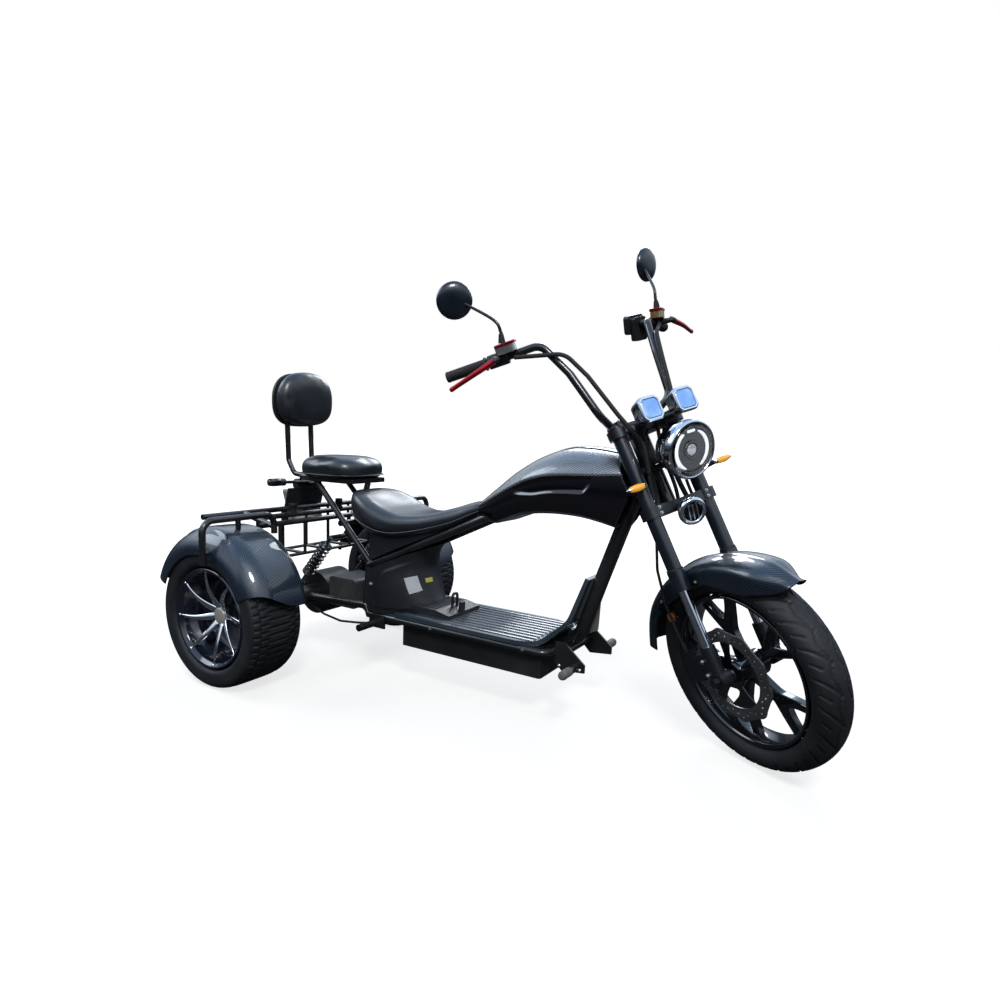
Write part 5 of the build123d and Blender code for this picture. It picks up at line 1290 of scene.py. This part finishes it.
# columns: ahead, half width, half height, middle height
POD_BODY = [(-26, 22, 24, 2), (-20, 27, 28, 1), (4, 32, 32, 0), (16, 34, 34, 0), (24, 34, 34, 0), (27, 31, 31, 0),
    (27, 27.5, 27.5, 0), (23.5, 26.5, 26.5, 0)]
POD_SCREEN = [(22, 26.4, 26.4, 0), (25.2, 26.4, 26.4, 0), (26.2, 24.5, 24.5, 0)]
for name, side in SIDES:
    place = fork_place(141, 58 * side, 720)
    for part_name, table, skin_used, slot_name in (("gauge_pod_", POD_BODY, mirror_chrome, "chrome"),
            ("gauge_screen_", POD_SCREEN, screen_painted_sky, "lamp_lens")):
        verts = []
        for ahead, wide_half, high_half, lift in table:
            chamfer = 0.3 * wide_half
            corners = [(wide_half, high_half - chamfer), (wide_half - chamfer, high_half),
                (-wide_half + chamfer, high_half), (-wide_half, high_half - chamfer),
                (-wide_half, -high_half + chamfer), (-wide_half + chamfer, -high_half),
                (wide_half - chamfer, -high_half), (wide_half, -high_half + chamfer)]
            for y, z in rounded(corners, 3, 3):
                verts.append(place @ Vector((ahead / 1000, y / 1000, (z + lift) / 1000)))
        pod = piece(part_name + name, verts, stack_faces(len(table), 32), skin_used, "steering")
        clean(pod.data)
        pod.data.set_sharp_from_angle(angle=radians(24))
        if side > 0 and skin_used is mirror_chrome:
            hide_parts("gauge_pods")
flat_cut("gauge_bracket", [rounded([(-0.03, -0.03), (0.04, -0.084), (0.066, -0.084), (0.058, 0), (0.066, 0.084),
    (0.04, 0.084), (-0.03, 0.03)], 0.01)], 0.006, 0.001, fork_place(70, 0, 699), clamp_black,
    "steering")

# Horn: chrome bell with a wide rounded rim, black inside, behind upright chrome slats,
# on a short bracket from the lower clamp.
horn_face = facing(at(AXIS_X - 157 + 42, -4, AXIS_Z + 429), -16)
rim_bell = [(0.0262, -0.006), (0.0264, -0.002), (0.0285, 0.0005), (0.033, 0.0012), (0.037, -0.0015), (0.0388, -0.007),
    (0.038, -0.014), (0.0345, -0.022), (0.031, -0.03), (0.024, -0.034), (0, -0.034), (0, -0.012), (0.0262, -0.012)]
horn_bell = spun("horn_bell", rim_bell, 96, horn_face, mirror_chrome, "steering", closed=False)
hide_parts("horn")
spun("horn_inside", [(0, -0.0119), (0.0261, -0.0119), (0.0261, -0.009), (0, -0.009)], 72, horn_face, lamp_black,
    "steering", closed=False)
slat_unit = ([(x, y, z) for x in (-0.0017, 0.0017) for y in (-0.008, -0.001) for z in (-0.0225, 0.0225)],
    [(0, 1, 3, 2), (4, 6, 7, 5), (0, 4, 5, 1), (2, 3, 7, 6), (0, 2, 6, 4), (1, 5, 7, 3)])
grown("horn_slats", copies, slat_unit, {"Count": 3, "Step": (0.0118, 0.0, 0.0)},
    horn_face @ rotated(8, "Y") @ Matrix.Translation((-0.0118, 0, 0)), mirror_chrome, "steering",
    smooth=False)
tube("horn_stay", [horn_face @ Vector((0, -0.03, 0)), turned @ on_fork(36, 0, 462)], 0.009, clamp_black,
    "steering", smooth_run=False)

# Front turn signals: leaf-shaped amber lamps with a chrome back edge on short black stems.
amber_glow = finish("amber_glow", (0.95, 0.46, 0.04), (0.8, 0.32, 0.02), 0.16, 0.08, (60, 0.5), (500, 0.05), coat=1.0,
    more={"Emission Color": (1.0, 0.45, 0.05, 1), "Emission Strength": 0.35})
# columns: distance out, half depth, half height
LEAF = [(118, 4, 4), (124, 7.5, 6.5), (134, 10.5, 8.5), (146, 12, 9.5), (158, 11, 8.8), (168, 8.4, 6.6),
    (176, 5, 3.8), (182, 1.6, 1.2)]


def leaf(name, low, high, grow, material, side, ends=(118, 182)):
    """Leaf-shaped half between two turns round its length."""
    verts = []
    for step in range(33):
        out = ends[0] + (ends[1] - ends[0]) * step / 32
        deep, tall = between(LEAF, out)
        for k in range(17):
            turn = radians(low + (high - low) * k / 16)
            verts.append(fork_place(102, side * out, 542) @ Vector(((deep + grow) * cos(turn) / 1000, 0,
                (tall + grow) * sin(turn) / 1000)))
    made = piece(name, verts, stack_faces(33, 17), material, "steering")
    clean(made.data)
    return made


for name, side in SIDES:
    lens = leaf("signal_lens_" + name, -80, 100, 0.5, amber_glow, side, (128, 172))
    if side > 0:
        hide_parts("turn_signals")
    leaf("signal_back_" + name, 0, 338, 0, mirror_chrome, side)
    tube("signal_stem_" + name, [turned @ on_fork(62, side * 108, 540), turned @ on_fork(84, side * 112, 541),
        turned @ on_fork(101, side * 121, 542)], 0.0068, clamp_black, "steering")

# Wiring behind the headlamp: black looms from the gauges and the horn, drawn together at the clamps.
# columns: points ahead of the steering axis, across it and up along it; radius
LOOMS = [([(66, 58, 700), (40, 50, 672), (38, 34, 610), (36, 40, 500), (30, 52, 470)], 0.007),
    ([(70, -58, 700), (44, -52, 668), (40, -38, 610), (36, -44, 520), (30, -56, 476)], 0.007),
    ([(62, -30, 698), (50, -26, 650), (44, -20, 600), (38, -30, 520), (30, -20, 484)], 0.0055),
    ([(62, 26, 698), (52, 20, 650), (44, 12, 600), (38, 24, 520), (30, 18, 484)], 0.0055),
    ([(60, -8, 690), (54, -34, 660), (52, -46, 620), (48, -62, 560), (40, -64, 500)], 0.0045),
    ([(58, 44, 690), (56, 62, 650), (52, 62, 600), (46, 56, 540), (38, 62, 486)], 0.0045)]
for number, (route, radius) in enumerate(LOOMS):
    tube("wire_loom_%d" % number, [turned @ on_fork(*spot) for spot in route], radius, seal_rubber,
        "steering")

# Handlebar ends: each end has a ribbed rubber grip with a flange, a two-part switch block, a lever perch
# with a fluid pot and a red anodised lever.
BAR_TIP = Vector((AXIS_X - 640, 404, AXIS_Z + 857))
BAR_IN = (Vector((AXIS_X - 465, 188, AXIS_Z + 905)) - BAR_TIP).normalized()


def bar_place(distance, side, lift=0.0, ahead=0.0):
    """Steered frame on the bar's end stretch: local Y runs along the bar to the left, X ahead, Z up."""
    spot = BAR_TIP + BAR_IN * distance
    left = Vector((-BAR_IN.x * side, -BAR_IN.y, -BAR_IN.z * side))
    left.normalize()
    front = left.cross(Vector((0, 0, 1))).normalized()
    high = front.cross(left)
    frame_here = Matrix((front, left, high)).transposed().to_4x4()
    frame_here.translation = at(spot.x + ahead, side * spot.y, spot.z + lift)
    return turned @ frame_here


def swept(name, rows, material, body, place=Matrix()):
    """Closed bar along rows of (point, half width, half height), with an oval section."""
    verts, around = [], 14
    for i, (point, wide_half, high_half) in enumerate(rows):
        run = (Vector(rows[min(i + 1, len(rows) - 1)][0]) - Vector(rows[max(i - 1, 0)][0])).normalized()
        across = run.cross(Vector((0, 0, 1))).normalized()
        over = across.cross(run)
        for k in range(around):
            turn = tau * k / around
            verts.append(place @ (Vector(point) + across * (wide_half * cos(turn)) + over * (high_half * sin(turn))))
    made = piece(name, verts, stack_faces(len(rows), around), material, body)
    clean(made.data)
    made.data.set_sharp_from_angle(angle=radians(60))
    return made


def spaced(points, sizes, steps):
    """Smooth rows for swept: points joined by a curve, sizes read off between them."""
    rows = []
    last = len(points) - 1
    for i in range(last * steps + 1):
        k, u = min(i // steps, last - 1), i / steps - min(i // steps, last - 1)
        a, b, c, d = (Vector(points[min(max(j, 0), last)]) for j in (k - 1, k, k + 1, k + 2))
        spot = 0.5 * ((2 * b) + (c - a) * u + (2 * a - 5 * b + 4 * c - d) * u ** 2 + (3 * b - a - 3 * c + d) * u ** 3)
        size = [sizes[k][n] * (1 - u) + sizes[k + 1][n] * u for n in (0, 1)]
        rows.append((spot, *size))
    return rows


grip_rubber = finish("grip_rubber", (0.01, 0.01, 0.011), (0.035, 0.034, 0.033), 0.62, 0.12, (30, 0.4), (900, 0.3))
red_anodised = finish("red_anodised", (0.5, 0.008, 0.02), (0.36, 0.008, 0.016), 0.24, 0.08, (30, 0.3), (500, 0.04),
    metal=0.75, coat=0.4)
pot_gold = finish("pot_gold", (0.62, 0.42, 0.2), (0.45, 0.3, 0.15), 0.26, 0.1, (40, 0.3), (500, 0.04), metal=0.9)
pot_silver = finish("pot_silver", (0.62, 0.62, 0.62), (0.45, 0.45, 0.45), 0.26, 0.1, (40, 0.3), (500, 0.04),
    metal=0.9)
block_black = finish("block_black", (0.009, 0.01, 0.012), (0.03, 0.03, 0.034), 0.4, 0.12, (30, 0.4), (700, 0.15))
switch_red = finish("switch_red", (0.55, 0.02, 0.02), (0.4, 0.02, 0.02), 0.4, 0.1, (60, 0.3), (500, 0.05))
switch_grey = finish("switch_grey", (0.3, 0.31, 0.33), (0.2, 0.2, 0.22), 0.45, 0.1, (60, 0.3), (500, 0.05))
ring_unit = []
for radius, along in ((0.0142, -0.0019), (0.0156, -0.0012), (0.016, 0.0), (0.0156, 0.0012), (0.0142, 0.0019)):
    ring_unit.append([(radius * cos(tau * k / 40), along, radius * sin(tau * k / 40)) for k in range(40)])
ring_verts = [row[k] for k in range(40) for row in ring_unit]
for name, side in SIDES:
    end = bar_place(0, side)
    barrel = [(0.0112, 0.003), (0.0112, -0.121), (0.0185, -0.121), (0.0192, -0.119), (0.0192, -0.117),
        (0.018, -0.115), (0.0146, -0.113), (0.0146, -0.006), (0.0156, -0.004), (0.016, -0.001), (0.0156, 0.003),
        (0.014, 0.0042), (0.0112, 0.0044)]
    grip = spun("grip_" + name, [(r, y * side) for r, y in barrel], 72, end, grip_rubber, "steering")
    grown("grip_ribs_" + name, copies, (ring_verts, ring_faces(40, 5)),
        {"Count": 21, "Step": (0.0, -0.005 * side, 0.0)}, end @ Matrix.Translation((0, -0.0092 * side, 0)),
        grip_rubber, "steering")
    housing = [(0.0112, -0.126), (0.017, -0.126), (0.0196, -0.1285), (0.0198, -0.1545), (0.0188, -0.1552),
        (0.0188, -0.1568), (0.0198, -0.1575), (0.0196, -0.1845), (0.017, -0.187), (0.0112, -0.187)]
    switch_block = spun("switch_block_" + name, [(r, y * side) for r, y in housing], 48, end, block_black,
        "steering")
    switch_block.data.set_sharp_from_angle(angle=radians(35))
    for number, (along, turn, material) in enumerate(((0.137, 160, switch_red), (0.146, 195, switch_grey),
            (0.168, 175, switch_grey))):
        flat_cut("switch_%s_%d" % (name, number),
            [rounded([(-0.0045, -0.003), (0.0045, -0.003), (0.0045, 0.003), (-0.0045, 0.003)], 0.001)], 0.006, 0.0008,
            end @ Matrix.Translation((0, -along * side, 0)) @ rotated(-turn, "Y")
            @ Matrix.Translation((0.0205, 0, 0)) @ rotated(90, "Y"), material, "steering")
    perch_rows = spaced([(0.01, -0.16 * side, 0.001), (0.03, -0.16 * side, 0.003), (0.052, -0.159 * side, 0.004),
        (0.06, -0.15 * side, 0.004)], [(0.011, 0.012), (0.0085, 0.009), (0.011, 0.0075), (0.007, 0.0065)], 6)
    swept("lever_perch_" + name, perch_rows, block_black, "steering", end)
    bolt("lever_pivot_" + name, end @ Matrix.Translation((0.052, -0.159 * side, 0.0105)), 0.005, 0.004, bright_zinc,
        "steering", 24)
    lever_end = end.inverted() @ (turned @ at(AXIS_X - 552, side * 446, AXIS_Z + 830))
    lever_root = Vector((0.056, -0.156 * side, 0.004))
    lever_rows = spaced([lever_root, lever_root.lerp(lever_end, 0.1),
        lever_root.lerp(lever_end, 0.45) + Vector((0.004, 0, 0)), lever_root.lerp(lever_end, 0.85),
        lever_root.lerp(lever_end, 0.96), lever_end], [(0.009, 0.0085), (0.0085, 0.009), (0.006, 0.0075),
        (0.0048, 0.0066), (0.0056, 0.0072), (0.003, 0.004)], 8)
    lever = swept("brake_lever_" + name, lever_rows, red_anodised, "steering", end)
    if side > 0:
        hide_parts("brake_levers")
        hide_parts("grips")
        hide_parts("bar_controls")
    pot_box = [(-0.017, -0.028), (0.017, -0.028), (0.017, 0.028), (-0.017, 0.028)]
    pot_lid = [(x * 1.12, y * 1.08) for x, y in pot_box]
    for part_name, material, outline, lift, thick in (
            ("fluid_pot_", pot_gold if side > 0 else pot_silver, pot_box, 25, 0.022),
            ("pot_lid_", red_anodised, pot_lid, 39, 0.007)):
        flat_cut(part_name + name, [rounded(outline, 0.012)], thick, 0.0012, bar_place(172, side, lift, 20), material,
            "steering")

# Handlebar: one bent tube under black enamel, held in risers with a red clamp collar on the right.
dress(frame_enamel, "handlebar")
collar_at = turned @ (set_at(AXIS_X - 345, -66, AXIS_Z + 645)
    @ (Vector((28, -63, 57)).to_track_quat("Y", "Z").to_matrix().to_4x4()))
spun("bar_collar", [(0.0112, -0.006), (0.0145, -0.006), (0.0155, -0.004), (0.0155, 0.004), (0.0145, 0.006),
    (0.0112, 0.006)], 48, collar_at, red_anodised, "steering")
for name, side in SIDES:
    for number, forward in enumerate((-20, 1)):
        bolt("riser_bolt_%s_%d" % (name, number), fork_place(forward, side * 42, 748), 0.004, 0.005, bright_zinc,
            "steering")

# Mirrors: round black shells on bent stems, with a bevelled mirror glass on the rider's side,
# a ball joint behind the shell and a rubber boot at the foot.
mirror_shell = finish("mirror_shell", (0.005, 0.01, 0.02), (0.015, 0.022, 0.032), 0.22, 0.12, (14, 0.35), (500, 0.04),
    coat=0.5)
shell_profile = [(0, 0.0025), (0.047, 0.0025), (0.048, 0.0005), (0.0505, 0.0005), (0.052, 0.003), (0.0516, 0.007),
    (0.049, 0.011), (0.044, 0.0145), (0.036, 0.0175), (0.024, 0.0192), (0.012, 0.0199), (0, 0.02)]
for name, side in SIDES:
    place = facing(at(AXIS_X - 637, side * 345, AXIS_Z + 1061), 18 * side)
    shell = spun("mirror_shell_" + name, shell_profile, 96, place, mirror_shell, "steering",
        closed=False)
    if side > 0:
        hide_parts("mirrors")
    spun("mirror_glass_" + name, [(0, 0.0028), (0.0466, 0.0028), (0.0466, 0.0018), (0.045, 0.0008), (0, 0.0008)], 96,
        place, mirror_chrome, "steering", closed=False)
    foot, bend_low, bend_high = (BAR_TIP + BAR_IN * along for along in (165, 167, 155))
    stem_points = [turned @ at(foot.x + 18, side * foot.y, foot.z + 44.3),
        turned @ at(bend_low.x + 16, side * bend_low.y, bend_low.z + 74),
        turned @ at(bend_high.x + 8, side * bend_high.y, bend_high.z + 110),
        turned @ at(AXIS_X - 621, side * 327, AXIS_Z + 1051)]
    rows = spaced(stem_points, [(0.0052, 0.0052), (0.0048, 0.0048), (0.0044, 0.0044), (0.0042, 0.0042)], 10)
    swept("mirror_stem_" + name, rows, frame_enamel, "steering")
    spun("mirror_ball_" + name, [(0.0105 * sin(pi * k / 16), -0.0105 * cos(pi * k / 16)) for k in range(17)], 32,
        facing(at(AXIS_X - 624, side * 331, AXIS_Z + 1052), 18 * side), block_black, "steering",
        closed=False)
    boot_rows = spaced([stem_points[0] + Vector((0, 0, -0.002)), stem_points[0].lerp(stem_points[1], 0.35),
        stem_points[0].lerp(stem_points[1], 0.8)], [(0.0105, 0.0105), (0.0088, 0.0088), (0.0062, 0.0062)], 6)
    swept("mirror_boot_" + name, boot_rows, seal_rubber, "steering")

# Cables, hose, caliper and phone holder: plain rubber sleeves and black castings in the CAD's own shapes,
# dressed like the switch blocks, the looms and the clamps beside them.
dress(block_black, "phone_holder")
dress(seal_rubber, "control_cables", "brake_hose", "brake_cable")
dress(clamp_black, "front_caliper")

# Rear suspension: dark damper bodies with bright rods inside coil springs, between the axle and the struts.
spring_steel = finish("spring_steel", (0.03, 0.032, 0.036), (0.06, 0.06, 0.065), 0.25, 0.1, (30, 0.3), (500, 0.05),
    metal=0.4, coat=0.5)
for name, side in SIDES:
    low, high = at(18, side * 150, 300), at(165, side * 150, 480)
    run = (high - low).to_track_quat("Z", "Y").to_matrix().to_4x4()
    foot = Matrix.Translation(low.lerp(high, 0.22)) @ run
    grown("shock_spring_" + name, coil, ([(0, 0, 0)], []), {"Turns": 7.0, "Radius": 0.0195, "Height": 0.136,
        "Wire": 0.0038}, foot, spring_steel, "chassis")
    rod_bright = tube("shock_rod_" + name, [low, high], 0.008, mirror_chrome, "chassis", smooth_run=False)
    spun("shock_body_" + name, [(0.0082, -0.004), (0.0235, -0.004), (0.024, -0.001), (0.0235, 0.003), (0.0135, 0.004),
        (0.0135, 0.08), (0.012, 0.082), (0.0082, 0.082)], 48, foot @ rotated(90, "X"), spring_steel,
        "chassis")
    spun("shock_seat_" + name, [(0.0082, 0.136), (0.0235, 0.136), (0.024, 0.139), (0.023, 0.143), (0.0082, 0.146)],
        48, foot @ rotated(90, "X"), spring_steel, "chassis")
    for place_name, ends in (("upper", (high, at(165, side * 84, 480))), ("lower", (low, at(0, side * 150, 276)))):
        tube("shock_pin_%s_%s" % (place_name, name), list(ends), 0.009, frame_enamel, "chassis",
            smooth_run=False)
    if side > 0:
        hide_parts("rear_shocks")

# Axle and motor: black housing tube with a dull cast motor block round its middle.
# Both keep the CAD's own shapes.
cast_grey = finish("cast_grey", (0.1, 0.105, 0.11), (0.2, 0.195, 0.19), 0.5, 0.15, (20, 0.4), (420, 0.5), metal=0.6)
dress(box_powder, "rear_axle")
dress(cast_grey, "drive_motor")

# Tail: red lamp lens on a black housing, round signals with black hoods and amber lenses that face
# rearwards, and a bare white number plate.
lens_red = finish("lens_red", (0.42, 0.006, 0.01), (0.3, 0.005, 0.008), 0.12, 0.06, (40, 0.3), (300, 0.02), coat=1.0)
plate_white = finish("plate_white", (0.72, 0.72, 0.7), (0.6, 0.6, 0.58), 0.4, 0.08, (12, 0.3), (300, 0.03))
dress(satin_plastic, "tail_lamps")
tail_face = set_at(-134, 0, 648) @ rotated(-90, "Y")
flat_cut("tail_lens", [rounded([(-0.017, -0.052), (0.017, -0.052), (0.017, 0.052), (-0.017, 0.052)], 0.013)], 0.006,
    0.002, tail_face, lens_red, "chassis", smooth=True)
for name, side in SIDES:
    outwards = rotated(0 if side > 0 else 180, "X")
    spun("rear_signal_hood_" + name, [(0, 0.148), (0.0139, 0.148), (0.0148, 0.152), (0.0148, 0.18), (0.013, 0.19),
        (0.008, 0.196), (0, 0.1985)], 48, set_at(-104, 0, 661) @ outwards, tank_black, "chassis",
        closed=False)
    spun("rear_signal_" + name, [(0, 0.152), (0.0128, 0.152), (0.0132, 0.154), (0.0132, 0.182), (0.011, 0.189),
        (0.006, 0.193), (0, 0.194)], 48, set_at(-108, 0, 661) @ outwards, amber_glow, "chassis",
        closed=False)
plate_turn = atan2(40, 134)
plate_face = set_at(-138.2, 0, 567) @ Matrix.Rotation(-plate_turn, 4, "Y") @ rotated(-90, "Y")
flat_cut("blank_plate", [rounded([(-0.062, -0.088), (0.062, -0.088), (0.062, 0.088), (-0.062, 0.088)], 0.008)],
    0.0016, 0.0004, plate_face, plate_white, "chassis")

# Rack, hoops, pegs and small brackets: black enamel like the frame, with rubber-capped posts.
dress(frame_enamel, "rear_rack", "rear_pegs", "front_pegs", "pillion_frame")
for name, side in SIDES:
    spun("rack_cap_" + name, [(0, 0.585), (0.014, 0.585), (0.0148, 0.5835), (0.0148, 0.566), (0.0132, 0.566),
        (0.0132, 0.5838), (0, 0.5838)], 48, set_at(-60, side * 122, 0) @ rotated(90, "X"), seal_rubber,
        "chassis", closed=False)

# Foot pegs and small hardware: grey ribbed sleeves on the peg ends, bolts through the peg plates
# and along the floor rail, and a bare grey plate behind the down tube.
sleeve_grey = finish("sleeve_grey", (0.16, 0.16, 0.155), (0.26, 0.25, 0.24), 0.55, 0.12, (40, 0.4), (600, 0.3))
plate_grey = finish("plate_grey", (0.26, 0.27, 0.25), (0.36, 0.36, 0.33), 0.42, 0.12, (16, 0.4), (500, 0.15),
    metal=0.5)
rail_bolt = []
for r, z in ((0.0062, 0.0), (0.0062, 0.0014), (0.0042, 0.0015), (0.0042, 0.005), (0.0034, 0.0058)):
    rail_bolt += [(r * cos(tau * k / 18), r * sin(tau * k / 18), z) for k in range(18)]
for name, side in SIDES:
    peg = [(0.012, 0.15)]
    for k in range(9):
        peg += [(0.0134, 0.151 + 0.005 * k), (0.0134, 0.154 + 0.005 * k), (0.0127, 0.1545 + 0.005 * k)]
    peg += [(0.012, 0.1985), (0.009, 0.2), (0, 0.2002), (0, 0.15)]
    spun("peg_sleeve_" + name, [(r, side * y) for r, y in peg], 40, set_at(1111.6, 0, 196), sleeve_grey,
        "chassis", closed=False)
    wall = rotated(-90 * side, "X")
    grown("peg_bolts_" + name, copies, (rail_bolt, stack_faces(5, 18)), {"Count": 2, "Step": (0.066, 0.0, 0.0)},
        set_at(1060, side * 109.8, 190) @ wall, bright_zinc, "chassis")
    grown("rail_bolts_" + name, copies, (rail_bolt, stack_faces(5, 18)), {"Count": 2, "Step": (0.345, 0.0, 0.0)},
        set_at(610, side * 147.6, 226) @ wall, cast_grey, "chassis")
plate_edge = ((1067, 249), (1093, 315), (1110, 360), (1118, 383), (1125, 375), (1124, 337), (1123, 305), (1122, 279))
flat_cut("down_tube_plate", [rounded([(x / 1000, z / 1000) for x, z in plate_edge], 0.004)], 0.003, 0.0006,
    set_at(0, 30, 0) @ rotated(90, "X"), plate_grey, "chassis")
